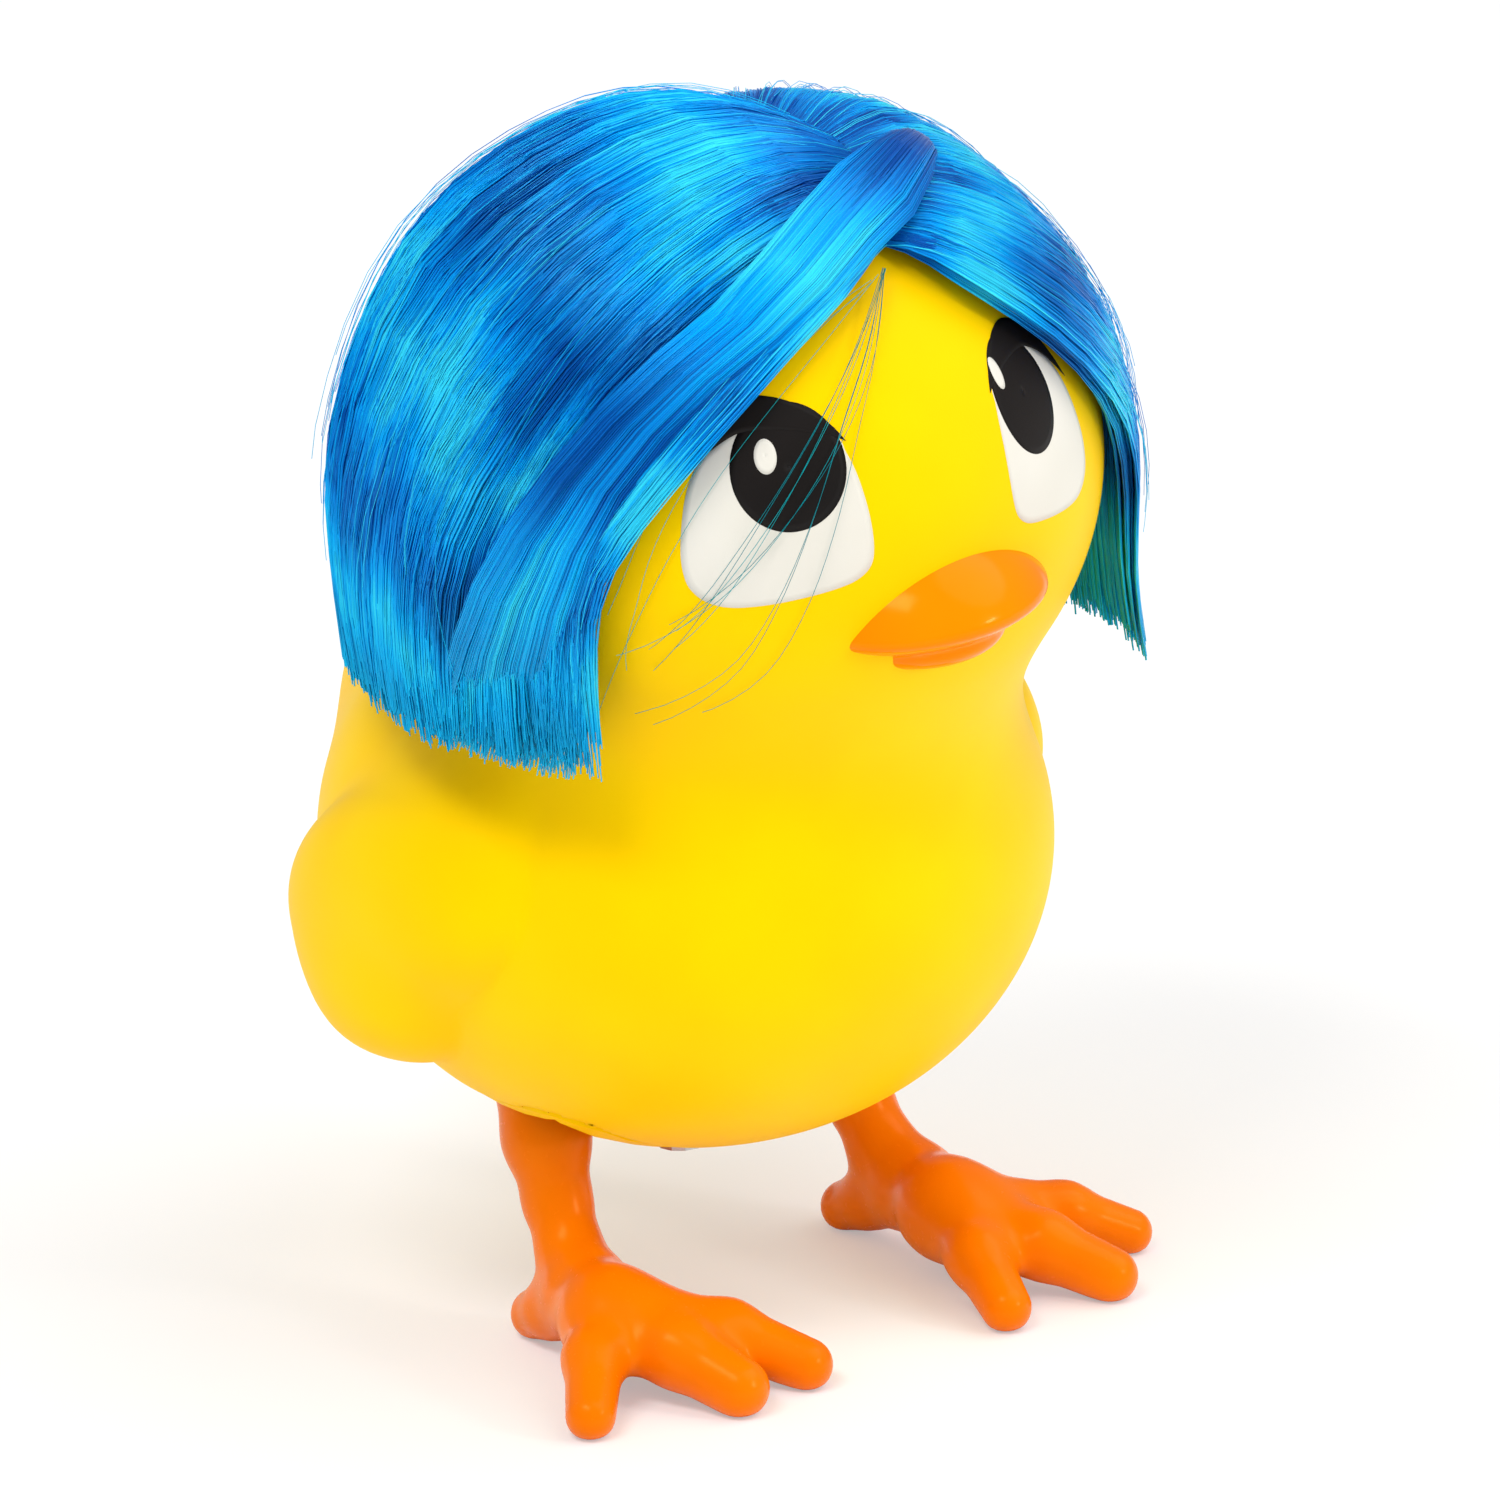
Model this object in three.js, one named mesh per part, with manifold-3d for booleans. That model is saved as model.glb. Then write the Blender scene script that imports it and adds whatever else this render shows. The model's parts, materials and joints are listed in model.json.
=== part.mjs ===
// A wind-up hopping chick with rooted nylon hair, in millimetres, +Z up, facing -Y, its left side at +X.
// It is built in the chick's own frame, with the floor at z = 0 and the chick's middle plane at x = 0,
// and the finished group is shifted so that its origin is the middle of its footprint, on the floor.
import * as THREE from "three";
import { mergeVertices } from "three/addons/utils/BufferGeometryUtils.js";
import Module from "manifold-3d";

const wasm = await Module();
wasm.setup();

// Clearances and cuts
const SEAT_GAP = 0.3; // between pieces that sit against each other
const RUNNING_GAP = 0.3; // radial, between a shaft and the hole that it turns in
const CUT_OVERRUN = 1; // how far a cut runs past the face that it opens
const ROUND_SIDES = 20;
const SMALL_SIDES = 12;
const HALVINGS = 26; // of a length, to find where a surface lies
const PUSHES = 8; // that move a point clear of a surface

// Body and head of the soft vinyl shell
const BODY = { centre: [0, 4.5, 27], radii: [20.4, 21.2, 17.2] };
const HEAD = { centre: [0, -2, 50.9], radii: [19.9, 19.6, 18.2] };
const TAIL = { centre: [0, 23.4, 32], radii: [6, 6.4, 4.4], lift: 0.45 };
const NECK_BLEND = 7;
const TAIL_BLEND = 9;
const SHELL_WALL = 1.6;
const SHELL_CENTRE = [0, 1, 38.8]; // every point of the shell is seen from here
const SHELL_REACH = 60;

// Wings, moulded on the shell
const WING = { centre: [16.4, 5.8, 27.4], radii: [6.6, 10.8, 7.2], pitch: -0.42, flare: 0.06 };
const WING_TIP = { centre: [16.8, 7.2, 22.3], radii: [5.6, 5.8, 4.8], pitch: -0.1, flare: 0.06 };
const WING_TIP_BLEND = 2.4;
const WING_BLEND = { low: 0.4, high: 3, from: 30, to: 38 }; // sharp under the wing, soft over it

// Opening under the body, and the plate that closes it
const HATCH = { halfWidth: 14.6, front: -2.4, back: 11.6, corner: 4, top: 17.8, cornerSteps: 5 };
const PLATE_LIP = 1.3;
const PLATE_LIP_WALL = 0.9;

// Beak, a separate glossy moulding on a peg: its upper half is what a top and an underside share
const BEAK = { at: [-0.6, -17.2, 46.5], turn: -0.1, tilt: 0.1 };
const BEAK_TOP = { centre: [0, 0, -2.4], radii: [7.7, 7.5, 7.1] };
const BEAK_UNDERSIDE = { centre: [0, 0, 2.9], radii: [9, 8.6, 5.1] };
const BEAK_LOWER = { centre: [-0.2, 0.2, -1.5], radii: [4.6, 5.5, 1.7] };
const BEAK_PEG = { radius: 2, length: 3.4, height: 46.3 };
const BEAK_SECTORS = 28;
const BEAK_RINGS = 18;

// Hair: two curtains from a middle parting, and a forelock that crosses it
const HAIR = {
  rootThickness: 1.6,
  edgeThickness: 0.9,
  edgeSpan: 0.22, // share of the parting over which the front edge gains its thickness
  hump: 0.9, // how much the hair stands higher beside the parting
  humpSpan: 0.45, // share of the way to the hang that the hump takes
  shellGap: 0.6,
  frontRoot: 0.87, // angle of the parting's front end, up from straight ahead
  backRoot: 2.25, // angle of its back end, past the top of the head
  hangShare: 0.62, // share of a strand that lies on the head before it hangs
  partingGap: 0.5,
  rings: 18,
  steps: 13,
};
const HAIR_RIGHT = {
  side: -1,
  thickness: 3.2,
  frontAzimuth: 1.12,
  bow: -0.08,
  drawIn: 0.8,
  cutFront: 38.6,
  cutSide: 39.6,
  cutBack: 41.5,
};
const HAIR_LEFT = {
  side: 1,
  thickness: 1.5,
  frontAzimuth: 0.86,
  bow: -0.16,
  drawIn: -0.9,
  cutFront: 38.2,
  cutSide: 36,
  cutBack: 41.5,
};

// Clockwork motor: every axis runs along X. Places are y, z in the chick's frame.
const MODULE = 0.35;
const GREAT_TEETH = 28;
const PINION_TEETH = 8;
const SECOND_TEETH = 26;
const ARBOR_AT = [14.2, 23.4];
const LEG_SHAFT_AT = [6.6, 19];
const SECOND_ANGLE = 2.44; // direction from the arbor to the second wheel
const CRANK_REACH = 5.5; // from the leg shaft to the crank wheel
const CRANK_THROW = 0.95;
const GEAR_BACKLASH = 0.2;
const TOOTH_LENGTH = 0.72; // in modules, above and below the pitch circle
const TOOTH_FOOT = 0.2; // in modules, how much deeper the gaps are
const TOOTH_SHARES = { root: 0.38, tip: 0.13 }; // shares of the pitch, half a tooth's width
const MOTOR = {
  halfWidth: 6.4,
  wall: 1,
  front: -1,
  floor: 15.9,
  top: 34.4,
  back: 20.7,
  cornerY: 16.8,
  cornerZ: 26.8,
  arcSteps: 6,
};
const JOIN_GAP = 0.3;

// Places along X of what turns in the motor
const GREAT_WHEEL_X = [0, 1.4];
const SECOND_WHEEL_X = [-1.6, -0.4];
const SECOND_PINION_X = [-0.4, 1.7];
const CRANK_PINION_X = [-1.7, -0.2];
const CRANK_DISC_X = [-2.7, -1.7];
const CRANK_PIN_X = [-3.7, -2.7];
const LEVER_X = [-5.1, -4];
const SPRING_X = [2, 5];
const HUB_END_X = 5.1;

// Shafts and pins
const ARBOR_RADIUS = 1;
const AXLE_RADIUS = 0.5;
const LEG_SHAFT_RADIUS = 0.9;
const HUB_RADIUS = 1.15;
const CRANK_DISC_RADIUS = 1.9;
const CRANK_PIN_RADIUS = 0.4;
const LEVER = { hubRadius: 1.7, width: 2.7, slotWidth: 1.5, slotSpare: 0.35, endWall: 0.7 };
const MAINSPRING = { inner: 1.55, outer: 4.9, strip: 0.22, turns: 6, steps: 18 };
const SHAFT_SEAT = 0.6; // how far an axle's end goes into the motor's wall

// Winding knob on the chick's left flank
const KNOB = { radius: 3.9, inner: 22.9, depth: 3.5, ribs: 12, ribDepth: 0.35, pointsPerRib: 4 };
const KNOB_HUB = { radius: 1.8, inner: 21.2, bore: 2.9 };

// Screws
const MOTOR_SCREW = { radius: 0.7, head: 1.25, headLength: 0.8, length: 11, post: 1.5 };
const MOTOR_SCREW_AT = [
  [0.9, 32.5],
  [0.9, 17.7],
  [15.6, 32],
];
const PLATE_SCREW = { radius: 0.7, head: 1.5, headLength: 0.9, length: 4.4, post: 1.7, counterbore: 1.1 };
const PLATE_SCREW_AT = [
  [-3.6, 1.4],
  [3.6, 9.2],
];

// Legs: points are x, y, z and a radius. The photograph shows that the two feet differ in their stance.
const LEG_HUB = { x: 10.7, inner: 6.9, outer: 12.4, radius: 2.6 };
const SHANK_RADIUS = 2.35;
const SHANK_Y = 4.6; // where the shanks cross the base plate
const LEFT_ANKLE = [11.4, -1.2, 4.1, 2.2];
const LEFT_PALM = [10.8, -4.8, 3.7, 2.3];
const LEFT_LEG = {
  side: 1,
  limbs: [
    [
      [10.6, 6.1, 16.2, 2.3],
      [10.7, SHANK_Y, 11.4, SHANK_RADIUS],
      [10.9, 3, 8, 1.75],
      [11.1, 1.4, 5.6, 1.85],
      LEFT_ANKLE,
    ],
    [LEFT_ANKLE, LEFT_PALM],
    [LEFT_PALM, [16.6, -8, 2.8, 1.6], [19.9, -9.8, 1.15, 1.35]],
    [LEFT_PALM, [12.5, -10.8, 2.8, 1.85], [14.6, -14.2, 1.35, 1.6]],
    [LEFT_PALM, [8.6, -9.8, 2.9, 1.7], [7.5, -13.4, 1.25, 1.45]],
    [[11.2, -0.8, 3.4, 2], [10.9, 2.2, 2.3, 1.65], [10.6, 4.2, 1.3, 1.5]],
  ],
};
const RIGHT_ANKLE = [-12.1, -0.4, 4.1, 2.2];
const RIGHT_PALM = [-13, -3.6, 3.7, 2.3];
const RIGHT_LEG = {
  side: -1,
  limbs: [
    [
      [-10.6, 6.1, 16.2, 2.3],
      [-10.7, SHANK_Y, 11.4, SHANK_RADIUS],
      [-10.9, 3.6, 8, 1.8],
      [-11.4, 2, 5.6, 1.75],
      RIGHT_ANKLE,
    ],
    [RIGHT_ANKLE, RIGHT_PALM],
    [RIGHT_PALM, [-16.2, -6, 2.9, 1.65], [-18.9, -8.9, 1.2, 1.4]],
    [RIGHT_PALM, [-12.2, -8.3, 2.9, 1.95], [-10.9, -12.1, 1.45, 1.7]],
    [RIGHT_PALM, [-8.4, -8.1, 2.8, 1.75], [-5.9, -11.9, 1.3, 1.5]],
    [[-12.2, -0.4, 3.4, 2], [-12.3, 2.3, 2.3, 1.65], [-12.2, 4.2, 1.3, 1.5]],
  ],
};
const LIMB_SIDES = 10;
const LIMB_CAP_RINGS = 3;
const SOLE_Z = 0;
const LEG_SLOT_SPARE = 0.4;

// Colours and finishes
function finish(color, roughness, metalness = 0) {
  return new THREE.MeshStandardMaterial({ color, roughness, metalness });
}
const YELLOW_VINYL = finish("#fbdc02", 0.5);
const ORANGE_GLOSS = finish("#fb8a04", 0.3);
const ORANGE_PVC = finish("#ec6a04", 0.35);
const BLUE_NYLON = finish("#0a86d4", 0.4);
const WHITE_ABS = finish("#eceae4", 0.4);
const ACETAL = finish("#f2efe6", 0.45);
const STEEL = finish("#b9bcc0", 0.3, 1);
const SPRING_STEEL = finish("#6d7480", 0.35, 1);

// Solids from three.js geometry, and back

function solidOf(geometry) {
  const bare = geometry.index ? geometry.toNonIndexed() : geometry.clone();
  for (const name of Object.keys(bare.attributes)) {
    if (name !== "position") bare.deleteAttribute(name);
  }
  const merged = mergeVertices(bare, 1e-4);
  return new wasm.Manifold(
    new wasm.Mesh({
      numProp: 3,
      vertProperties: merged.attributes.position.array,
      triVerts: new Uint32Array(merged.index.array),
    }),
  );
}

function geometryOf(solid) {
  const mesh = solid.getMesh();
  const positions = new Float32Array(mesh.numVert * 3);
  for (let i = 0; i < mesh.numVert; i++) {
    positions.set(mesh.vertProperties.subarray(i * mesh.numProp, i * mesh.numProp + 3), i * 3);
  }
  const geometry = new THREE.BufferGeometry();
  geometry.setAttribute("position", new THREE.BufferAttribute(positions, 3));
  geometry.setIndex(new THREE.BufferAttribute(new Uint32Array(mesh.triVerts), 1));
  geometry.computeVertexNormals();
  return geometry;
}

const smoothStep = (t) => t * t * (3 - 2 * t);
const mix = (a, b, t) => a + (b - a) * t;
const join = (...solids) => solids.reduce((all, one) => all.add(one));
const cut = (solid, ...tools) => tools.reduce((left, tool) => left.subtract(tool), solid);

const chick = new THREE.Group();

function addPiece(name, solid, material) {
  const mesh = new THREE.Mesh(geometryOf(solid), material);
  mesh.name = name;
  chick.add(mesh);
}

// A rod along X between two places, about an axis at [y, z]
function rodX(radius, [from, to], [y, z], sides = ROUND_SIDES) {
  const rod = new THREE.CylinderGeometry(radius, radius, to - from, sides);
  rod.rotateZ(Math.PI / 2);
  rod.translate((from + to) / 2, y, z);
  return solidOf(rod);
}

// A rod along Z between two heights, at [x, y]
function rodZ(radius, [from, to], [x, y], sides = ROUND_SIDES) {
  const rod = new THREE.CylinderGeometry(radius, radius, to - from, sides);
  rod.rotateX(Math.PI / 2);
  rod.translate(x, y, (from + to) / 2);
  return solidOf(rod);
}

function block([x0, x1], [y0, y1], [z0, z1]) {
  const box = new THREE.BoxGeometry(x1 - x0, y1 - y0, z1 - z0);
  box.translate((x0 + x1) / 2, (y0 + y1) / 2, (z0 + z1) / 2);
  return solidOf(box);
}

// An outline of [y, z] points, extruded along X between two places
function plateX(outline, [from, to]) {
  const shape = new THREE.Shape(outline.map(([y, z]) => new THREE.Vector2(y, z)));
  const plate = new THREE.ExtrudeGeometry(shape, { depth: to - from, bevelEnabled: false });
  // Extrusion runs along +Z over the XY plane: turn it so that x becomes y, y becomes z and z becomes x
  plate.applyMatrix4(new THREE.Matrix4().set(0, 0, 1, from, 1, 0, 0, 0, 0, 1, 0, 0, 0, 0, 0, 1));
  return solidOf(plate);
}

// Distance fields of the shell

function ellipsoidDistance([x, y, z], [a, b, c]) {
  const k = Math.hypot(x / a, y / b, z / c);
  const slope = Math.hypot(x / (a * a), y / (b * b), z / (c * c));
  return slope === 0 ? -Math.min(a, b, c) : (k * (k - 1)) / slope;
}

// Joins two distances with a fillet of about the blend's size
function blended(a, b, blend) {
  const overlap = Math.max(blend - Math.abs(a - b), 0) / blend;
  return Math.min(a, b) - (overlap * overlap * blend) / 4;
}

function lobeDistance([x, y, z], lobe) {
  const side = Math.abs(x) - lobe.centre[0];
  const along = y - lobe.centre[1];
  const up = z - lobe.centre[2];
  const cosF = Math.cos(lobe.flare);
  const sinF = Math.sin(lobe.flare);
  const out = side * cosF + up * sinF;
  const rise = up * cosF - side * sinF;
  const cosP = Math.cos(lobe.pitch);
  const sinP = Math.sin(lobe.pitch);
  return ellipsoidDistance([out, along * cosP + rise * sinP, rise * cosP - along * sinP], lobe.radii);
}

function wingDistance(point) {
  return blended(lobeDistance(point, WING), lobeDistance(point, WING_TIP), WING_TIP_BLEND);
}

function wingBlendAt(height) {
  const share = (height - WING_BLEND.from) / (WING_BLEND.to - WING_BLEND.from);
  return mix(WING_BLEND.low, WING_BLEND.high, smoothStep(Math.min(Math.max(share, 0), 1)));
}

function tailDistance([x, y, z]) {
  const along = y - TAIL.centre[1];
  const up = z - TAIL.centre[2];
  const cosL = Math.cos(TAIL.lift);
  const sinL = Math.sin(TAIL.lift);
  return ellipsoidDistance([x, along * cosL + up * sinL, up * cosL - along * sinL], TAIL.radii);
}

const fromCentre = ([x, y, z], [cx, cy, cz]) => [x - cx, y - cy, z - cz];

function shellDistance(point, withWings = true) {
  const body = ellipsoidDistance(fromCentre(point, BODY.centre), BODY.radii);
  const head = ellipsoidDistance(fromCentre(point, HEAD.centre), HEAD.radii);
  const trunk = blended(blended(body, head, NECK_BLEND), tailDistance(point), TAIL_BLEND);
  return withWings ? blended(trunk, wingDistance(point), wingBlendAt(point[2])) : trunk;
}

// A closed surface around SHELL_CENTRE, at a distance outside the shell's own surface, or inside if negative
function shellSolid(offset, withWings, sectors, rings) {
  const radiusAlong = (direction) => {
    let near = 0;
    let far = SHELL_REACH;
    for (let i = 0; i < HALVINGS; i++) {
      const radius = (near + far) / 2;
      const point = direction.map((d, axis) => SHELL_CENTRE[axis] + d * radius);
      if (shellDistance(point, withWings) < offset) near = radius;
      else far = radius;
    }
    return near;
  };
  const surface = new THREE.SphereGeometry(1, sectors, rings);
  surface.rotateX(Math.PI / 2);
  const position = surface.attributes.position;
  const direction = new THREE.Vector3();
  for (let i = 0; i < position.count; i++) {
    direction.fromBufferAttribute(position, i).normalize();
    const radius = radiusAlong(direction.toArray());
    position.setXYZ(i, ...direction.toArray().map((d, axis) => SHELL_CENTRE[axis] + d * radius));
  }
  return solidOf(surface);
}

const OUTER_SECTORS = 44;
const OUTER_RINGS = 32;
const INNER_SECTORS = 28;
const INNER_RINGS = 18;
const outerShell = shellSolid(0, true, OUTER_SECTORS, OUTER_RINGS);
const shellCavity = shellSolid(-SHELL_WALL, false, INNER_SECTORS, INNER_RINGS);
const shellWithGap = shellSolid(SEAT_GAP, true, OUTER_SECTORS, OUTER_RINGS);

// Base: the opening in the shell, and the plate in it

function roundedColumn(inset, [bottom, top]) {
  const halfWidth = HATCH.halfWidth - inset;
  const front = HATCH.front + inset;
  const back = HATCH.back - inset;
  const corner = HATCH.corner;
  const shape = new THREE.Shape();
  shape.moveTo(-halfWidth + corner, front);
  shape.lineTo(halfWidth - corner, front);
  shape.absarc(halfWidth - corner, front + corner, corner, -Math.PI / 2, 0);
  shape.lineTo(halfWidth, back - corner);
  shape.absarc(halfWidth - corner, back - corner, corner, 0, Math.PI / 2);
  shape.lineTo(-halfWidth + corner, back);
  shape.absarc(-halfWidth + corner, back - corner, corner, Math.PI / 2, Math.PI);
  shape.lineTo(-halfWidth, front + corner);
  shape.absarc(-halfWidth + corner, front + corner, corner, Math.PI, (3 * Math.PI) / 2);
  const column = new THREE.ExtrudeGeometry(shape, {
    depth: top - bottom,
    bevelEnabled: false,
    curveSegments: HATCH.cornerSteps,
  });
  column.translate(0, 0, bottom);
  return solidOf(column);
}

const bodyBottom = BODY.centre[2] - BODY.radii[2];
const hatchHeights = [bodyBottom - CUT_OVERRUN, HATCH.top];
const arborHoleSpan = [BODY.centre[0], BODY.radii[0] + CUT_OVERRUN];
const arborHole = rodX(ARBOR_RADIUS + RUNNING_GAP, arborHoleSpan, ARBOR_AT, SMALL_SIDES);

function beakPeg(radius, length) {
  const front = HEAD.centre[1] - HEAD.radii[1];
  const peg = new THREE.CylinderGeometry(radius, radius, length, SMALL_SIDES);
  peg.translate(0, front + length / 2 - SHELL_WALL / 2, BEAK_PEG.height);
  return solidOf(peg);
}

addPiece(
  "body_shell",
  cut(
    outerShell,
    shellCavity,
    roundedColumn(0, hatchHeights),
    arborHole,
    beakPeg(BEAK_PEG.radius + SEAT_GAP, BEAK_PEG.length + 2 * CUT_OVERRUN),
  ),
  YELLOW_VINYL,
);

// Where the shank crosses the plate, it needs room to swing about the leg shaft
const legSwing = Math.asin(CRANK_THROW / CRANK_REACH);
const shankSwing = (LEG_SHAFT_AT[1] - bodyBottom) * Math.tan(legSwing);
const slotHalf = SHANK_RADIUS + shankSwing + LEG_SLOT_SPARE;

function legSlot(side) {
  const halfWidth = SHANK_RADIUS + LEG_SLOT_SPARE;
  const xs = [side * LEG_HUB.x - halfWidth, side * LEG_HUB.x + halfWidth];
  return block(xs, [SHANK_Y - slotHalf, SHANK_Y + slotHalf], hatchHeights);
}

const lipOuter = shellSolid(-SHELL_WALL - SEAT_GAP, false, INNER_SECTORS, INNER_RINGS);
const lipInner = shellSolid(-SHELL_WALL - SEAT_GAP - PLATE_LIP_WALL, false, INNER_SECTORS, INNER_RINGS);
const plateBody = cut(outerShell.intersect(roundedColumn(SEAT_GAP, hatchHeights)), lipInner);
const plateLip = cut(lipOuter.intersect(roundedColumn(-PLATE_LIP, hatchHeights)), lipInner);
const undersideAt = (x, y) => {
  const share = 1 - ((y - BODY.centre[1]) / BODY.radii[1]) ** 2 - (x / BODY.radii[0]) ** 2;
  return BODY.centre[2] - BODY.radii[2] * Math.sqrt(share);
};
const plateThickness = SHELL_WALL + SEAT_GAP + PLATE_LIP_WALL;
const postFoot = (x, y) => {
  const [outward, along] = [Math.sign(x) * PLATE_SCREW.post, Math.sign(y - BODY.centre[1]) * PLATE_SCREW.post];
  return undersideAt(x + outward, y + along) + plateThickness + SEAT_GAP;
};
const screwTools = PLATE_SCREW_AT.flatMap(([x, y]) => {
  const counterbore = [bodyBottom - CUT_OVERRUN, undersideAt(x, y) + PLATE_SCREW.counterbore];
  return [
    rodZ(PLATE_SCREW.radius + SEAT_GAP, hatchHeights, [x, y], SMALL_SIDES),
    rodZ(PLATE_SCREW.head + SEAT_GAP, counterbore, [x, y], SMALL_SIDES),
  ];
});
addPiece("base_plate", cut(join(plateBody, plateLip), legSlot(1), legSlot(-1), ...screwTools), YELLOW_VINYL);

for (const [i, [x, y]] of PLATE_SCREW_AT.entries()) {
  const top = undersideAt(x, y) + PLATE_SCREW.counterbore - SEAT_GAP;
  const head = rodZ(PLATE_SCREW.head, [top - PLATE_SCREW.headLength, top], [x, y], SMALL_SIDES);
  const shank = rodZ(PLATE_SCREW.radius, [top, top + PLATE_SCREW.length], [x, y], SMALL_SIDES);
  addPiece(`plate_screw_${i + 1}`, head.add(shank), STEEL);
}

// Beak

function ellipsoid({ centre, radii }, sectors, rings) {
  const ball = new THREE.SphereGeometry(1, sectors, rings);
  ball.scale(...radii);
  ball.translate(...centre);
  return solidOf(ball);
}

const [beakTop, beakUnderside, lowerBill] = [BEAK_TOP, BEAK_UNDERSIDE, BEAK_LOWER].map((form) =>
  ellipsoid(form, BEAK_SECTORS, BEAK_RINGS),
);
const turnedBeak = geometryOf(join(beakTop.intersect(beakUnderside), lowerBill));
turnedBeak.rotateY(-BEAK.tilt);
turnedBeak.rotateZ(BEAK.turn);
turnedBeak.translate(...BEAK.at);
const bills = cut(solidOf(turnedBeak), shellWithGap);
addPiece("beak", join(bills, beakPeg(BEAK_PEG.radius, BEAK_PEG.length)), ORANGE_GLOSS);

// Hair

const FRONT_HALF_SHARE = 0.5; // of the parting, where the cut counts as the front's

const headRadiusAlong = (d) => 1 / Math.hypot(d.x / HEAD.radii[0], d.y / HEAD.radii[1], d.z / HEAD.radii[2]);

// Moves a point out along a direction until it is at least a gap away from the shell
function clearOfShell(point, gap, outwards) {
  for (let i = 0; i < PUSHES; i++) {
    const short = gap - shellDistance(point.toArray());
    if (short > 0) point.addScaledVector(outwards, short);
  }
  return point;
}

// A point of a curtain of hair: along the parting (0 front, 1 back), down the strand, and out from the head
function hairPoint(curtain, along, down, out) {
  const root = mix(HAIR.frontRoot, HAIR.backRoot, along);
  const azimuth = mix(curtain.frontAzimuth, Math.PI, along);
  const from = new THREE.Vector3(0, -Math.cos(root), Math.sin(root));
  const to = new THREE.Vector3(curtain.side * Math.sin(azimuth), -Math.cos(azimuth), 0);
  const share = Math.min(down / HAIR.hangShare, 1);
  const turn = from.angleTo(to);
  const d = from
    .clone()
    .multiplyScalar(Math.sin((1 - share) * turn) / Math.sin(turn))
    .addScaledVector(to, Math.sin(share * turn) / Math.sin(turn));
  d.x += curtain.side * curtain.bow * Math.sin(Math.PI * share) * (1 - along);
  d.normalize();
  const swell = smoothStep(Math.min(share / HAIR.hangShare, 1));
  const full = mix(HAIR.edgeThickness, curtain.thickness, smoothStep(Math.min(along / HAIR.edgeSpan, 1)));
  const thickness = mix(Math.min(HAIR.rootThickness, full), full, swell);
  const humpAcross = Math.sin(Math.PI * Math.min(share / HAIR.humpSpan, 1)) ** 2;
  const hump = HAIR.hump * humpAcross * Math.sin(Math.PI * along);
  const point = d.clone().multiplyScalar(headRadiusAlong(d) + SEAT_GAP + out * (thickness + hump));
  point.x += curtain.side * (HAIR.partingGap / 2) * (1 - share);
  point.add(new THREE.Vector3(...HEAD.centre));
  if (down > HAIR.hangShare) {
    const fall = (down - HAIR.hangShare) / (1 - HAIR.hangShare);
    const side = Math.sin(Math.PI * along);
    const ends = along < FRONT_HALF_SHARE ? curtain.cutFront : curtain.cutBack;
    point.z = mix(point.z, mix(ends, curtain.cutSide, side), fall);
    point.addScaledVector(d, -curtain.drawIn * fall * fall);
  }
  return clearOfShell(point, HAIR.shellGap + out * HAIR.rootThickness, d);
}

// The closed solid between a curtain's inner and outer faces
function curtainSolid(curtain) {
  const rows = HAIR.rings + 1;
  const columns = HAIR.steps + 1;
  const positions = [];
  for (const out of [0, 1]) {
    for (let i = 0; i < rows; i++) {
      for (let j = 0; j < columns; j++) {
        positions.push(...hairPoint(curtain, i / HAIR.rings, j / HAIR.steps, out).toArray());
      }
    }
  }
  const at = (out, i, j) => out * rows * columns + i * columns + j;
  const faces = [];
  const quad = (a, b, c, d) => faces.push(a, b, c, a, c, d);
  for (let i = 0; i < HAIR.rings; i++) {
    for (let j = 0; j < HAIR.steps; j++) {
      quad(at(1, i, j), at(1, i, j + 1), at(1, i + 1, j + 1), at(1, i + 1, j));
      quad(at(0, i, j), at(0, i + 1, j), at(0, i + 1, j + 1), at(0, i, j + 1));
    }
    quad(at(0, i, 0), at(1, i, 0), at(1, i + 1, 0), at(0, i + 1, 0));
    quad(at(0, i, HAIR.steps), at(0, i + 1, HAIR.steps), at(1, i + 1, HAIR.steps), at(1, i, HAIR.steps));
  }
  for (let j = 0; j < HAIR.steps; j++) {
    quad(at(0, 0, j), at(0, 0, j + 1), at(1, 0, j + 1), at(1, 0, j));
    quad(at(0, HAIR.rings, j), at(1, HAIR.rings, j), at(1, HAIR.rings, j + 1), at(0, HAIR.rings, j + 1));
  }
  if (curtain.side < 0) faces.reverse();
  const geometry = new THREE.BufferGeometry();
  geometry.setAttribute("position", new THREE.BufferAttribute(new Float32Array(positions), 3));
  geometry.setIndex(faces);
  return solidOf(geometry);
}

addPiece("hair_right", curtainSolid(HAIR_RIGHT), BLUE_NYLON);
addPiece("hair_left", curtainSolid(HAIR_LEFT), BLUE_NYLON);

// Gears

function gearOutline(teeth, [y, z], phase) {
  const pitchRadius = (teeth * MODULE) / 2;
  const tip = pitchRadius + TOOTH_LENGTH * MODULE;
  const root = pitchRadius - (TOOTH_LENGTH + TOOTH_FOOT) * MODULE;
  const step = (2 * Math.PI) / teeth;
  const backlash = GEAR_BACKLASH / (2 * pitchRadius);
  const points = [];
  for (let i = 0; i < teeth; i++) {
    const middle = phase + i * step;
    for (const [radius, share] of [
      [root, -TOOTH_SHARES.root],
      [tip, -TOOTH_SHARES.tip],
      [tip, TOOTH_SHARES.tip],
      [root, TOOTH_SHARES.root],
    ]) {
      const angle = middle + share * step - Math.sign(share) * backlash;
      points.push([y + radius * Math.cos(angle), z + radius * Math.sin(angle)]);
    }
  }
  return points;
}

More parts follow.
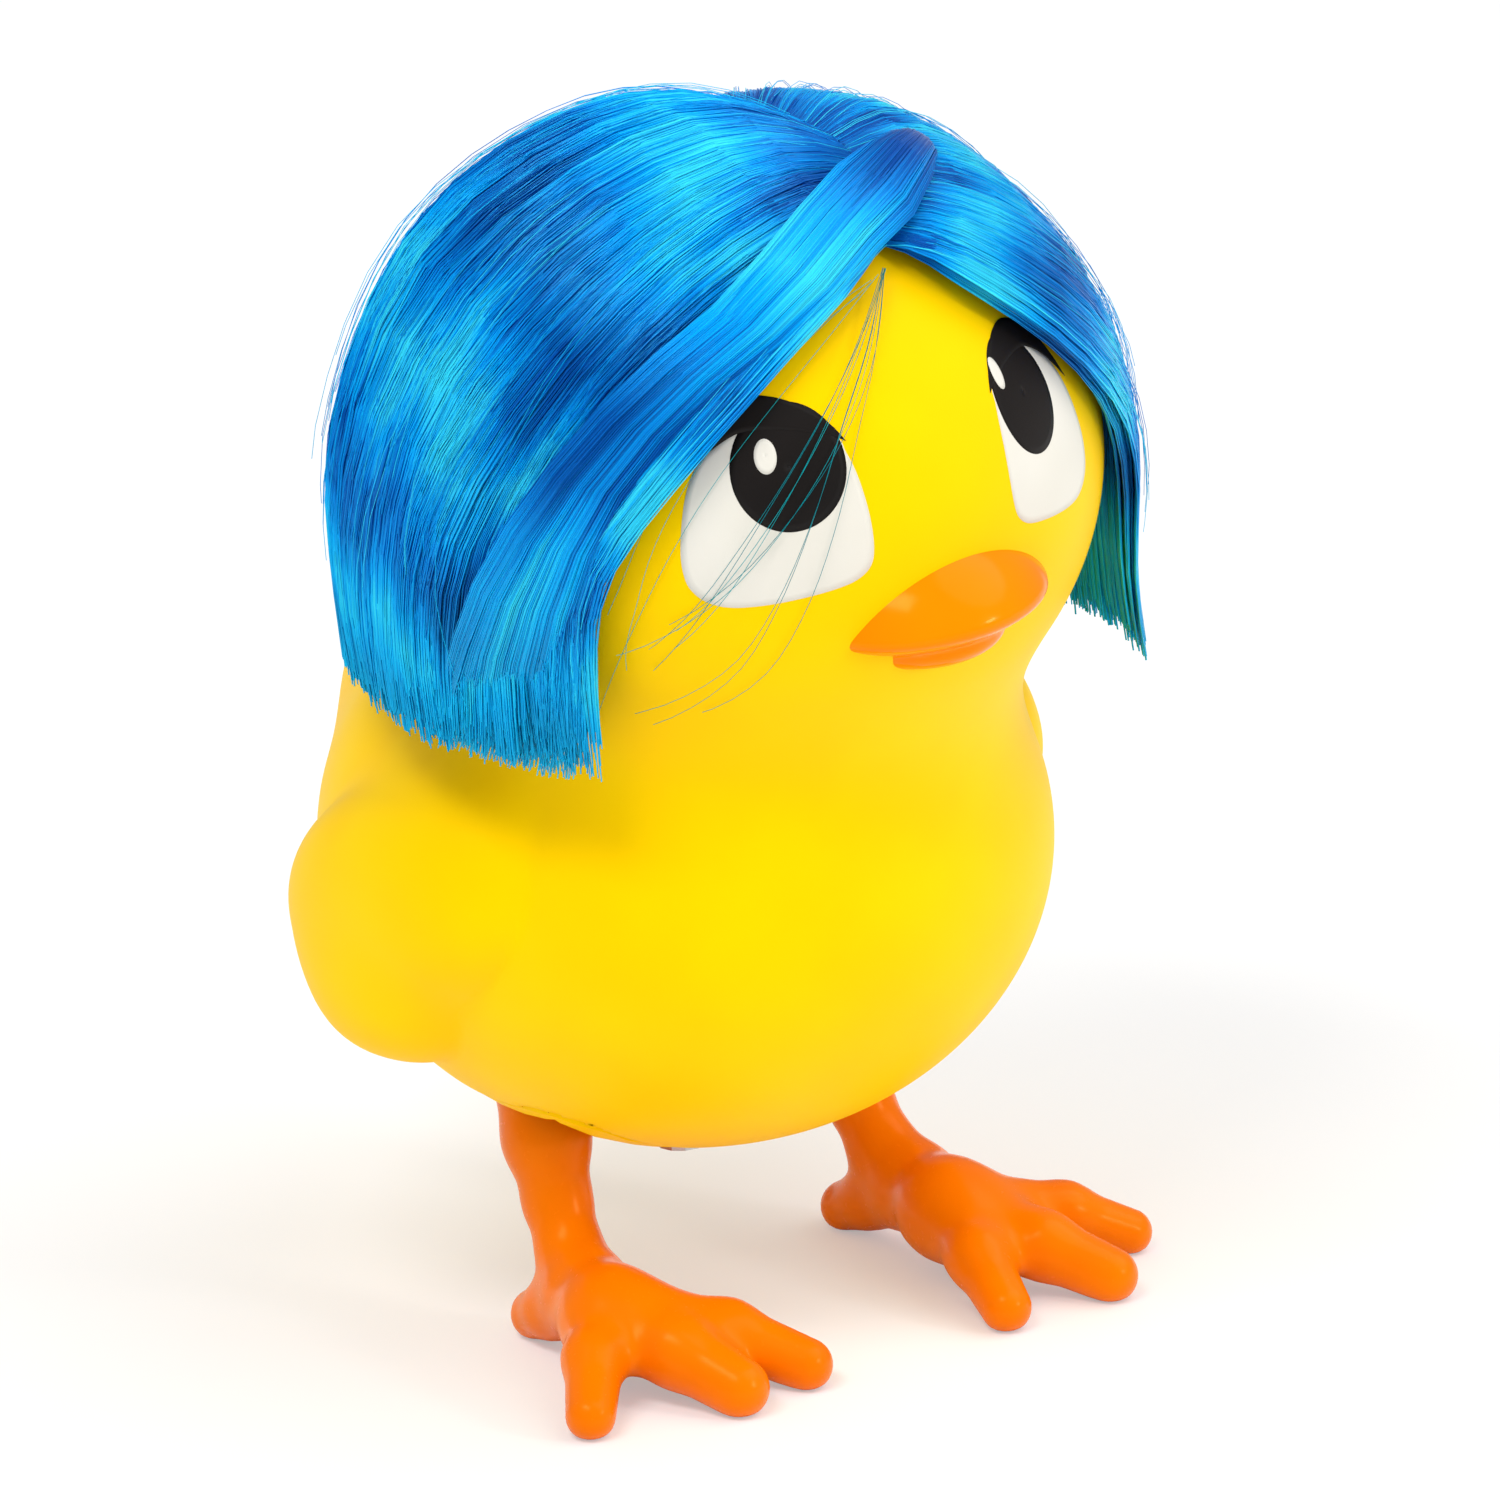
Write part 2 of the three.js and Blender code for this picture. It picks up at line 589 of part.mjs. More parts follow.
const meshDistance = (teeth) => ((teeth + PINION_TEETH) * MODULE) / 2;
const secondAt = [
  ARBOR_AT[0] + meshDistance(GREAT_TEETH) * Math.cos(SECOND_ANGLE),
  ARBOR_AT[1] + meshDistance(GREAT_TEETH) * Math.sin(SECOND_ANGLE),
];

// Where a circle about each of two centres meets, on the side nearer the chick's front
function circlesMeet([y0, z0], r0, [y1, z1], r1) {
  const apart = Math.hypot(y1 - y0, z1 - z0);
  const along = (r0 * r0 - r1 * r1 + apart * apart) / (2 * apart);
  const across = Math.sqrt(r0 * r0 - along * along);
  const [uy, uz] = [(y1 - y0) / apart, (z1 - z0) / apart];
  return [y0 + along * uy + across * uz, z0 + along * uz - across * uy];
}

const crankAt = circlesMeet(secondAt, meshDistance(SECOND_TEETH), LEG_SHAFT_AT, CRANK_REACH);
const direction = ([y0, z0], [y1, z1]) => Math.atan2(z1 - z0, y1 - y0);

// The phase that puts a tooth of the driven pinion in the gap of its wheel, along their line of centres
function matingPhase(wheelTeeth, wheelPhase, line) {
  const wheelStep = (2 * Math.PI) / wheelTeeth;
  const pinionStep = (2 * Math.PI) / PINION_TEETH;
  const past = (line - wheelPhase) / wheelStep;
  const offset = past - Math.round(past);
  return line + Math.PI + pinionStep / 2 + offset * pinionStep;
}

const greatPhase = 0;
const secondPhase = matingPhase(GREAT_TEETH, greatPhase, direction(ARBOR_AT, secondAt));
const crankPhase = matingPhase(SECOND_TEETH, secondPhase, direction(secondAt, crankAt));

const arborBore = rodX(ARBOR_RADIUS + SEAT_GAP / 2, [-MOTOR.halfWidth, MOTOR.halfWidth], ARBOR_AT);
const greatHub = rodX(HUB_RADIUS + ARBOR_RADIUS / 2, [GREAT_WHEEL_X[0], SPRING_X[0] - SEAT_GAP], ARBOR_AT);
addPiece(
  "great_wheel",
  cut(join(plateX(gearOutline(GREAT_TEETH, ARBOR_AT, greatPhase), GREAT_WHEEL_X), greatHub), arborBore),
  ACETAL,
);

const motorInside = MOTOR.halfWidth - MOTOR.wall;
const axleHole = (at, span) => rodX(AXLE_RADIUS + RUNNING_GAP, span, at, SMALL_SIDES);
addPiece(
  "second_wheel",
  cut(
    join(
      plateX(gearOutline(SECOND_TEETH, secondAt, secondPhase), SECOND_WHEEL_X),
      plateX(gearOutline(PINION_TEETH, secondAt, secondPhase), SECOND_PINION_X),
      rodX(HUB_RADIUS, [-HUB_END_X, HUB_END_X], secondAt),
    ),
    axleHole(secondAt, [-MOTOR.halfWidth, MOTOR.halfWidth]),
  ),
  ACETAL,
);

const pinDirection = direction(LEG_SHAFT_AT, crankAt) + Math.PI / 2;
const crankPinAt = [
  crankAt[0] + CRANK_THROW * Math.cos(pinDirection),
  crankAt[1] + CRANK_THROW * Math.sin(pinDirection),
];
addPiece(
  "crank_wheel",
  cut(
    join(
      plateX(gearOutline(PINION_TEETH, crankAt, crankPhase), CRANK_PINION_X),
      rodX(CRANK_DISC_RADIUS, CRANK_DISC_X, crankAt),
      rodX(CRANK_PIN_RADIUS, [CRANK_PIN_X[0], CRANK_DISC_X[1]], crankPinAt, SMALL_SIDES),
      rodX(HUB_RADIUS, [CRANK_PINION_X[1] - SEAT_GAP, HUB_END_X], crankAt),
    ),
    axleHole(crankAt, [CRANK_DISC_X[1], MOTOR.halfWidth]),
  ),
  ACETAL,
);

const seatEnd = motorInside + SHAFT_SEAT;
addPiece("second_axle", rodX(AXLE_RADIUS, [-seatEnd, seatEnd], secondAt, SMALL_SIDES), STEEL);
addPiece("crank_axle", rodX(AXLE_RADIUS, [CRANK_DISC_X[1] + SEAT_GAP, seatEnd], crankAt, SMALL_SIDES), STEEL);

// Winding arbor and knob
const arborEnd = KNOB_HUB.inner + KNOB_HUB.bore;
addPiece("winding_arbor", rodX(ARBOR_RADIUS, [-seatEnd, arborEnd], ARBOR_AT), STEEL);

function knobOutline() {
  const points = [];
  const count = KNOB.ribs * KNOB.pointsPerRib;
  for (let i = 0; i < count; i++) {
    const onRib = i % KNOB.pointsPerRib < KNOB.pointsPerRib / 2;
    const radius = KNOB.radius - (onRib ? 0 : KNOB.ribDepth);
    const angle = (i * 2 * Math.PI) / count;
    points.push([ARBOR_AT[0] + radius * Math.cos(angle), ARBOR_AT[1] + radius * Math.sin(angle)]);
  }
  return points;
}

addPiece(
  "winding_knob",
  cut(
    join(
      plateX(knobOutline(), [KNOB.inner, KNOB.inner + KNOB.depth]),
      rodX(KNOB_HUB.radius, [KNOB_HUB.inner, KNOB.inner + SEAT_GAP], ARBOR_AT),
    ),
    rodX(ARBOR_RADIUS + SEAT_GAP / 2, [KNOB_HUB.inner - CUT_OVERRUN, arborEnd + SEAT_GAP], ARBOR_AT),
  ),
  WHITE_ABS,
);

// Mainspring: one flat strip wound around the arbor
function mainspringOutline() {
  const inner = [];
  const outer = [];
  const count = MAINSPRING.turns * MAINSPRING.steps;
  for (let i = 0; i <= count; i++) {
    const share = i / count;
    const angle = share * MAINSPRING.turns * 2 * Math.PI;
    const radius = mix(MAINSPRING.inner, MAINSPRING.outer, share);
    for (const [line, offset] of [
      [inner, 0],
      [outer, MAINSPRING.strip],
    ]) {
      const r = radius + offset;
      line.push([ARBOR_AT[0] + r * Math.cos(angle), ARBOR_AT[1] + r * Math.sin(angle)]);
    }
  }
  return [...outer, ...inner.reverse()];
}

addPiece("mainspring", plateX(mainspringOutline(), SPRING_X), SPRING_STEEL);

// Leg shaft and the slotted lever that the crank pin rocks
addPiece("leg_shaft", rodX(LEG_SHAFT_RADIUS, [-LEG_HUB.outer, LEG_HUB.outer], LEG_SHAFT_AT), STEEL);

function leverPart(width, fromReach, toReach, span) {
  const turn = direction(LEG_SHAFT_AT, crankAt);
  const [cosT, sinT] = [Math.cos(turn), Math.sin(turn)];
  const corners = [
    [fromReach, -width / 2],
    [toReach, -width / 2],
    [toReach, width / 2],
    [fromReach, width / 2],
  ];
  const outline = corners.map(([along, across]) => [
    LEG_SHAFT_AT[0] + along * cosT - across * sinT,
    LEG_SHAFT_AT[1] + along * sinT + across * cosT,
  ]);
  return plateX(outline, span);
}

const slotHalfLength = CRANK_THROW + CRANK_PIN_RADIUS + LEVER.slotSpare;
const leverCut = [LEVER_X[0] - CUT_OVERRUN, LEVER_X[1] + CUT_OVERRUN];
addPiece(
  "rocker_lever",
  cut(
    join(
      leverPart(LEVER.width, 0, CRANK_REACH + slotHalfLength + LEVER.endWall, LEVER_X),
      rodX(LEVER.hubRadius, LEVER_X, LEG_SHAFT_AT),
    ),
    leverPart(LEVER.slotWidth, CRANK_REACH - slotHalfLength, CRANK_REACH + slotHalfLength, leverCut),
    rodX(LEG_SHAFT_RADIUS + SEAT_GAP / 2, leverCut, LEG_SHAFT_AT),
  ),
  ACETAL,
);

// Motor case: two halves that meet on the middle plane

function caseOutline(inset) {
  const points = [
    [MOTOR.front + inset, MOTOR.top - inset],
    [MOTOR.front + inset, MOTOR.floor + inset],
    [ARBOR_AT[0], MOTOR.floor + inset],
  ];
  const [reachY, reachZ] = [MOTOR.back - ARBOR_AT[0] - inset, ARBOR_AT[1] - MOTOR.floor - inset];
  for (let i = 1; i < MOTOR.arcSteps; i++) {
    const angle = ((i / MOTOR.arcSteps - 1) * Math.PI) / 2;
    points.push([ARBOR_AT[0] + reachY * Math.cos(angle), ARBOR_AT[1] + reachZ * Math.sin(angle)]);
  }
  points.push([MOTOR.back - inset, ARBOR_AT[1]]);
  points.push([MOTOR.back - inset, MOTOR.cornerZ - inset / 2]);
  points.push([MOTOR.cornerY - inset / 2, MOTOR.top - inset]);
  return points;
}

function caseHalf(side) {
  const span = (from, to) => (side > 0 ? [from, to] : [-to, -from]);
  const joinFace = JOIN_GAP / 2;
  const shell = plateX(caseOutline(0), span(joinFace, MOTOR.halfWidth));
  const room = plateX(caseOutline(MOTOR.wall), span(joinFace - CUT_OVERRUN, motorInside));
  const postSpan = span(joinFace, motorInside + SEAT_GAP);
  const posts = MOTOR_SCREW_AT.map((at) => rodX(MOTOR_SCREW.post, postSpan, at, SMALL_SIDES));
  const feet = PLATE_SCREW_AT.filter(([x]) => x * side > 0).map(([x, y]) =>
    rodZ(PLATE_SCREW.post, [postFoot(x, y), MOTOR.floor + MOTOR.wall], [x, y], SMALL_SIDES),
  );
  const through = span(0, MOTOR.halfWidth + CUT_OVERRUN);
  const footHole = [bodyBottom, MOTOR.floor + MOTOR.wall + CUT_OVERRUN];
  const headRadius = MOTOR_SCREW.head + SEAT_GAP;
  const holes = [
    rodX(ARBOR_RADIUS + RUNNING_GAP, through, ARBOR_AT),
    rodX(LEG_SHAFT_RADIUS + RUNNING_GAP, through, LEG_SHAFT_AT),
    rodX(AXLE_RADIUS + SEAT_GAP, through, secondAt, SMALL_SIDES),
    ...MOTOR_SCREW_AT.map((at) => rodX(MOTOR_SCREW.radius + SEAT_GAP, span(0, screwReach), at, SMALL_SIDES)),
    ...PLATE_SCREW_AT.map((at) => rodZ(PLATE_SCREW.radius + SEAT_GAP, footHole, at, SMALL_SIDES)),
  ];
  if (side > 0) holes.push(rodX(AXLE_RADIUS + SEAT_GAP, through, crankAt, SMALL_SIDES));
  else holes.push(...MOTOR_SCREW_AT.map((at) => rodX(headRadius, headPocket, at, SMALL_SIDES)));
  return cut(join(cut(shell, room), ...posts, ...feet), ...holes);
}

const headPocket = [-MOTOR.halfWidth - CUT_OVERRUN, -MOTOR.halfWidth + MOTOR_SCREW.headLength];
const screwReach = MOTOR.halfWidth + CUT_OVERRUN;
addPiece("case_right", caseHalf(-1), WHITE_ABS);
addPiece("case_left", caseHalf(1), WHITE_ABS);

for (const [i, at] of MOTOR_SCREW_AT.entries()) {
  const start = -MOTOR.halfWidth;
  const head = rodX(MOTOR_SCREW.head, [start, start + MOTOR_SCREW.headLength - SEAT_GAP], at, SMALL_SIDES);
  const shank = rodX(MOTOR_SCREW.radius, [start, start + MOTOR_SCREW.length], at, SMALL_SIDES);
  addPiece(`case_screw_${i + 1}`, head.add(shank), STEEL);
}

// Legs

// A limb of round sections through [x, y, z, radius] points, with domed ends
function limb(points) {
  const centres = points.map(([x, y, z]) => new THREE.Vector3(x, y, z));
  const rings = [];
  const last = points.length - 1;
  const dome = (centre, radius, tangent, share) => {
    const angle = (share * Math.PI) / 2;
    const middle = centre.clone().addScaledVector(tangent, radius * Math.sin(angle));
    rings.push([middle, radius * Math.cos(angle), tangent]);
  };
  const tangentAt = (i) => centres[Math.min(i + 1, last)].clone().sub(centres[Math.max(i - 1, 0)]).normalize();
  for (let i = LIMB_CAP_RINGS; i > 0; i--) dome(centres[0], points[0][3], tangentAt(0), -i / LIMB_CAP_RINGS);
  points.forEach((point, i) => rings.push([centres[i], point[3], tangentAt(i)]));
  for (let i = 1; i <= LIMB_CAP_RINGS; i++) {
    dome(centres[last], points[last][3], tangentAt(last), i / LIMB_CAP_RINGS);
  }
  const positions = [];
  for (const [centre, radius, tangent] of rings) {
    const across = new THREE.Vector3(1, 0, 0).addScaledVector(tangent, -tangent.x).normalize();
    const other = tangent.clone().cross(across);
    for (let j = 0; j < LIMB_SIDES; j++) {
      const angle = (j * 2 * Math.PI) / LIMB_SIDES;
      const spot = centre.clone().addScaledVector(across, radius * Math.cos(angle));
      positions.push(...spot.addScaledVector(other, radius * Math.sin(angle)).toArray());
    }
  }
  const faces = [];
  for (let i = 0; i < rings.length - 1; i++) {
    for (let j = 0; j < LIMB_SIDES; j++) {
      const [a, b] = [i * LIMB_SIDES + j, i * LIMB_SIDES + ((j + 1) % LIMB_SIDES)];
      faces.push(a, b, b + LIMB_SIDES, a, b + LIMB_SIDES, a + LIMB_SIDES);
    }
  }
  const geometry = new THREE.BufferGeometry();
  geometry.setAttribute("position", new THREE.BufferAttribute(new Float32Array(positions), 3));
  geometry.setIndex(faces);
  return solidOf(geometry);
}

function legSolid({ side, limbs }) {
  const across = (from, to) => (side > 0 ? [from, to] : [-to, -from]);
  const hub = rodX(LEG_HUB.radius, across(LEG_HUB.inner, LEG_HUB.outer), LEG_SHAFT_AT);
  const boreSpan = across(LEG_HUB.inner - CUT_OVERRUN, LEG_HUB.outer + CUT_OVERRUN);
  const bore = rodX(LEG_SHAFT_RADIUS + SEAT_GAP / 2, boreSpan, LEG_SHAFT_AT);
  const reach = SHELL_REACH;
  const floor = block([-reach, reach], [-reach, reach], [SOLE_Z - reach, SOLE_Z]);
  return cut(join(hub, ...limbs.map(limb)), bore, floor);
}

addPiece("left_leg", legSolid(LEFT_LEG), ORANGE_PVC);
addPiece("right_leg", legSolid(RIGHT_LEG), ORANGE_PVC);

// The origin is the middle of the footprint of everything, on the floor
const around = new THREE.Box3().setFromObject(chick);
const middle = around.getCenter(new THREE.Vector3());
chick.position.set(-middle.x, -middle.y, -around.min.z);

export default chick;
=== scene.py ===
# %% [markdown]
# # A wind-up hopping chick
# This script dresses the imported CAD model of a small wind-up toy.
# The toy is a soft vinyl chick with rooted blue doll hair, printed eyes and glossy orange feet.
# The CAD model is the fixed frame: nothing in it is moved, and the new pieces are built in its place.
# All the shapes below are written in millimetres, in the chick's own frame, where it faces -Y.

import itertools
import json
import math

import bmesh
import bpy
import numpy as np
from mathutils import Matrix, Vector


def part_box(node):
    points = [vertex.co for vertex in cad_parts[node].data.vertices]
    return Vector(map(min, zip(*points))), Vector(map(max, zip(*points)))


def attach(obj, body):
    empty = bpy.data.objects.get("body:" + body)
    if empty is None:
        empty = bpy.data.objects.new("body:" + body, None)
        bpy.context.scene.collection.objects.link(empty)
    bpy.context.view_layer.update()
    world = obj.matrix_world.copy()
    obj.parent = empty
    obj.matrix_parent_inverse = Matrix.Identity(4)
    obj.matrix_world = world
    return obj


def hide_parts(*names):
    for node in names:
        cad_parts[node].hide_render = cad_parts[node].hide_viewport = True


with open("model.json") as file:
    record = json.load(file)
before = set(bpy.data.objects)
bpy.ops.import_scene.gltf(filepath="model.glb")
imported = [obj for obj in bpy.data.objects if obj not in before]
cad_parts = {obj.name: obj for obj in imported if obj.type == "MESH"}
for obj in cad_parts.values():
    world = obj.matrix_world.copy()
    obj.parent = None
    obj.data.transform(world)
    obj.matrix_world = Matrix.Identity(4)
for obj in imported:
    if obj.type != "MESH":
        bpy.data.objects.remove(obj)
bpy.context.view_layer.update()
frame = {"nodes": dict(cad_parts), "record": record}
MM = 0.001
print("CAD nodes:", len(frame["nodes"]))

# %% [markdown]
# The chick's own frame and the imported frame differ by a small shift.
# The leg shaft lies at a known place in the chick's frame, so its box gives the shift.

# %% Find the shift between the two frames
LEG_SHAFT_AT = np.array([0.0, 6.6, 19.0])
shaft_low, shaft_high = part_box("leg_shaft")
SHIFT = (np.array(shaft_low) + np.array(shaft_high)) / 2 / MM - LEG_SHAFT_AT
print("shift in mm:", SHIFT.round(3))

# %% [markdown]
# ## Small helpers
# A node tree is easier to read when one call makes a node, sets it and links it.
# Colours are written as the hex values that a paint program shows, and one function makes them linear.


# %% Add a node, and turn a hex colour into a linear one
def add(tree, kind, inputs=None, **settings):
    node = tree.nodes.new(kind)
    for name, value in settings.items():
        setattr(node, name, value)
    for key, value in (inputs or {}).items():
        if isinstance(value, bpy.types.NodeSocket):
            tree.links.new(value, node.inputs[key])
        else:
            node.inputs[key].default_value = value
    return node


def linear(hex_colour):
    channels = [int(hex_colour[i : i + 2], 16) / 255 for i in (1, 3, 5)]
    return [c / 12.92 if c <= 0.04045 else ((c + 0.055) / 1.055) ** 2.4 for c in channels] + [1.0]


def enabled(sockets):
    return next(s for s in sockets if s.enabled)


def per_mm(count):
    return count / MM


def smooth_step(t):
    t = np.clip(t, 0, 1)
    return t * t * (3 - 2 * t)


def mix(a, b, t):
    return a + (b - a) * t


print("yellow vinyl in linear light:", [round(c, 3) for c in linear("#fbdc02")])

# %% [markdown]
# ## Materials
# Soft vinyl is rotation moulded: the skin copies a sand-blasted mould, so it is satin, not glossy.
# A very fine grain in the roughness and the bump breaks the highlight up, as on the real toy.
# The colour is deep and even, with faint clouds where the wall is thicker.
# The sheen takes a little of the plastic's own colour, as it does in the photograph.

# %% Make the yellow vinyl
GRAIN_HEIGHT = 0.02
CLOUD_SIZE = 9.0
DARK_AT, LIGHT_AT = 0.3, 0.7


def new_material(name):
    material = bpy.data.materials.new(name)
    material.use_nodes = True
    material.node_tree.nodes.clear()
    return material, material.node_tree


def finish_material(tree, shader):
    add(tree, "ShaderNodeOutputMaterial", {"Surface": shader.outputs[0]})


def object_noise(tree, size_mm, detail=2.0, roughness=0.5):
    place = add(tree, "ShaderNodeTexCoord")
    where = {"Vector": place.outputs["Object"], "Scale": per_mm(1 / size_mm)}
    return add(tree, "ShaderNodeTexNoise", {**where, "Detail": detail, "Roughness": roughness})


def colour_ramp(tree, factor, stops):
    ramp = add(tree, "ShaderNodeValToRGB", {"Fac": factor})
    elements = ramp.color_ramp.elements
    while len(elements) < len(stops):
        elements.new(0.5)
    for element, (position, colour) in zip(elements, stops):
        element.position = position
        element.color = linear(colour)
    return ramp


def moulded_plastic(name, dark, light, roughness, grain_mm, bump, spread=0.04, **sockets):
    material, tree = new_material(name)
    clouds = object_noise(tree, CLOUD_SIZE)
    colour = colour_ramp(tree, clouds.outputs["Fac"], [(DARK_AT, dark), (LIGHT_AT, light)])
    grain = object_noise(tree, grain_mm, detail=3.0)
    ends = {"Value": grain.outputs["Fac"], "To Min": roughness - spread, "To Max": roughness + spread}
    rough = add(tree, "ShaderNodeMapRange", ends)
    height = {"Height": grain.outputs["Fac"], "Strength": bump, "Distance": GRAIN_HEIGHT * MM}
    relief = add(tree, "ShaderNodeBump", height)
    inputs = {
        "Base Color": colour.outputs["Color"],
        "Roughness": rough.outputs["Result"],
        "Normal": relief.outputs["Normal"],
        **sockets,
    }
    finish_material(tree, add(tree, "ShaderNodeBsdfPrincipled", inputs))
    return material


SATIN = {"IOR": 1.5, "Specular IOR Level": 0.2, "Specular Tint": linear("#ffd23c")}
YELLOW_VINYL = moulded_plastic(
    "Yellow rotation-moulded vinyl", "#ffcb00", "#ffd200", roughness=0.5, grain_mm=0.12, bump=0.25, **SATIN
)
print("made", YELLOW_VINYL.name)

# %% [markdown]
# The beak and the feet come from polished moulds, so they are glossy.
# The feet are soft PVC: a deeper orange, with a slightly waxy highlight.
# The printed eyes are pad-print ink: matte, with a slight speckle where the ink is thin.

# %% Make the orange plastics and the inks
GLOSS = {"IOR": 1.5, "Specular IOR Level": 0.3, "Specular Tint": linear("#ffb060")}
INK = {"grain_mm": 0.08, "bump": 0.3, "IOR": 1.5, "Specular IOR Level": 0.15}
ORANGE_GLOSS = moulded_plastic(
    "Orange gloss moulding", "#ff8400", "#ff8d00", roughness=0.16, grain_mm=0.5, bump=0.1, **GLOSS
)
ORANGE_PVC = moulded_plastic(
    "Orange soft PVC", "#ee7000", "#f67c00", roughness=0.26, grain_mm=0.35, bump=0.2, **GLOSS
)
WHITE_INK = moulded_plastic("White pad-print ink", "#dcd8cc", "#e6e2d8", roughness=0.55, **INK)
BLACK_INK = moulded_plastic("Black pad-print ink", "#14100f", "#1e1917", roughness=0.5, **INK)
print("made", ORANGE_GLOSS.name, ORANGE_PVC.name, WHITE_INK.name, BLACK_INK.name)

# %% [markdown]
# The clockwork inside is natural acetal wheels, ABS cases and steel.
# Drawn wire and turned pins show fine lines, which a stretched noise in the roughness gives.

# %% Make the motor's materials and give them to the CAD nodes
LINES_PER_MM = (0.5, 12, 12)


def drawn_metal(name, dark, light, roughness):
    material, tree = new_material(name)
    place = add(tree, "ShaderNodeTexCoord")
    stretch = {"Vector": place.outputs["Object"], "Scale": [per_mm(count) for count in LINES_PER_MM]}
    drawn_out = add(tree, "ShaderNodeMapping", stretch)
    lines = add(tree, "ShaderNodeTexNoise", {"Vector": drawn_out.outputs[0], "Scale": 1.0})
    colour = colour_ramp(tree, lines.outputs["Fac"], [(DARK_AT, dark), (LIGHT_AT, light)])
    ends = {"Value": lines.outputs["Fac"], "To Min": roughness - 0.06, "To Max": roughness + 0.08}
    rough = add(tree, "ShaderNodeMapRange", ends)
    inputs = {"Base Color": colour.outputs["Color"], "Roughness": rough.outputs["Result"], "Metallic": 1.0}
    finish_material(tree, add(tree, "ShaderNodeBsdfPrincipled", inputs))
    return material


WHITE_ABS = moulded_plastic(
    "White ABS", "#e6e4de", "#efede8", roughness=0.38, grain_mm=0.2, bump=0.2, IOR=1.5
)
ACETAL = moulded_plastic(
    "Natural acetal", "#ece8dc", "#f4f1e8", roughness=0.42, grain_mm=0.3, bump=0.15, IOR=1.48
)
STEEL = drawn_metal("Drawn steel", "#b2b5b9", "#c2c5c8", roughness=0.3)
SPRING_STEEL = drawn_metal("Blued spring steel", "#646b78", "#747c8a", roughness=0.32)
FINISHES = {
    "yellow_vinyl": YELLOW_VINYL,
    "orange_gloss": ORANGE_GLOSS,
    "orange_pvc": ORANGE_PVC,
    "white_abs": WHITE_ABS,
    "acetal": ACETAL,
    "steel": STEEL,
    "spring_steel": SPRING_STEEL,
}
dressed = 0
for part in frame["record"]["subparts"]:
    if part["material_slot"] in FINISHES:
        node_mesh = frame["nodes"][part["node"]].data
        node_mesh.materials.clear()
        node_mesh.materials.append(FINISHES[part["material_slot"]])
        dressed += 1
print("CAD nodes with a new finish:", dressed)

# %% [markdown]
# ## Shapes from distances
# A moulded toy has soft joins between its forms: head to body, wing to flank, toe to foot.
# Such forms are easy to write as distances: how far a point is outside an ellipsoid or a limb.
# Two distances blend with one formula, and the skin is where the result is zero.


# %% Distances to ellipsoids and limbs, and their blend
def length_of(vectors):
    return np.sqrt((vectors * vectors).sum(-1))


def ellipsoid_distance(points, radii):
    radii = np.array(radii, float)
    size = length_of(points / radii)
    slope = np.maximum(length_of(points / radii**2), 1e-6)
    return size * (size - 1) / slope


def blended(a, b, blend):
    overlap = np.maximum(blend - np.abs(a - b), 0) / blend
    return np.minimum(a, b) - overlap * overlap * blend / 4


def rounded_cut(a, b, blend):
    return -blended(-a, -b, blend)


def limb_distance(points, stations, blend):
    stations = np.array(stations, float)
    distance = None
    for first, second in zip(stations[:-1], stations[1:]):
        axis = second[:3] - first[:3]
        share = np.clip(((points - first[:3]) @ axis) / (axis @ axis), 0, 1)
        nearest = first[:3] + share[:, None] * axis
        one = length_of(points - nearest) - mix(first[3], second[3], share)
        distance = one if distance is None else blended(distance, one, blend)
    return distance


print("middle of a 2 mm ball:", ellipsoid_distance(np.array([[1.0, 0, 0]]), [1, 1, 1]))

# %% [markdown]
# One point goes in each small cell that the skin crosses, and a quad joins the four cells round each
# grid edge that it crosses. Then the points slide along the slope onto the true surface.
# This makes closed, even meshes of any such shape, with no poles and no seams.


# %% Turn a distance into a closed skin
def slope_of(distance, points, step=0.02):
    slope = np.empty_like(points)
    for axis in range(3):
        move = np.zeros(3)
        move[axis] = step
        slope[:, axis] = (distance(points + move) - distance(points - move)) / (2 * step)
    return slope


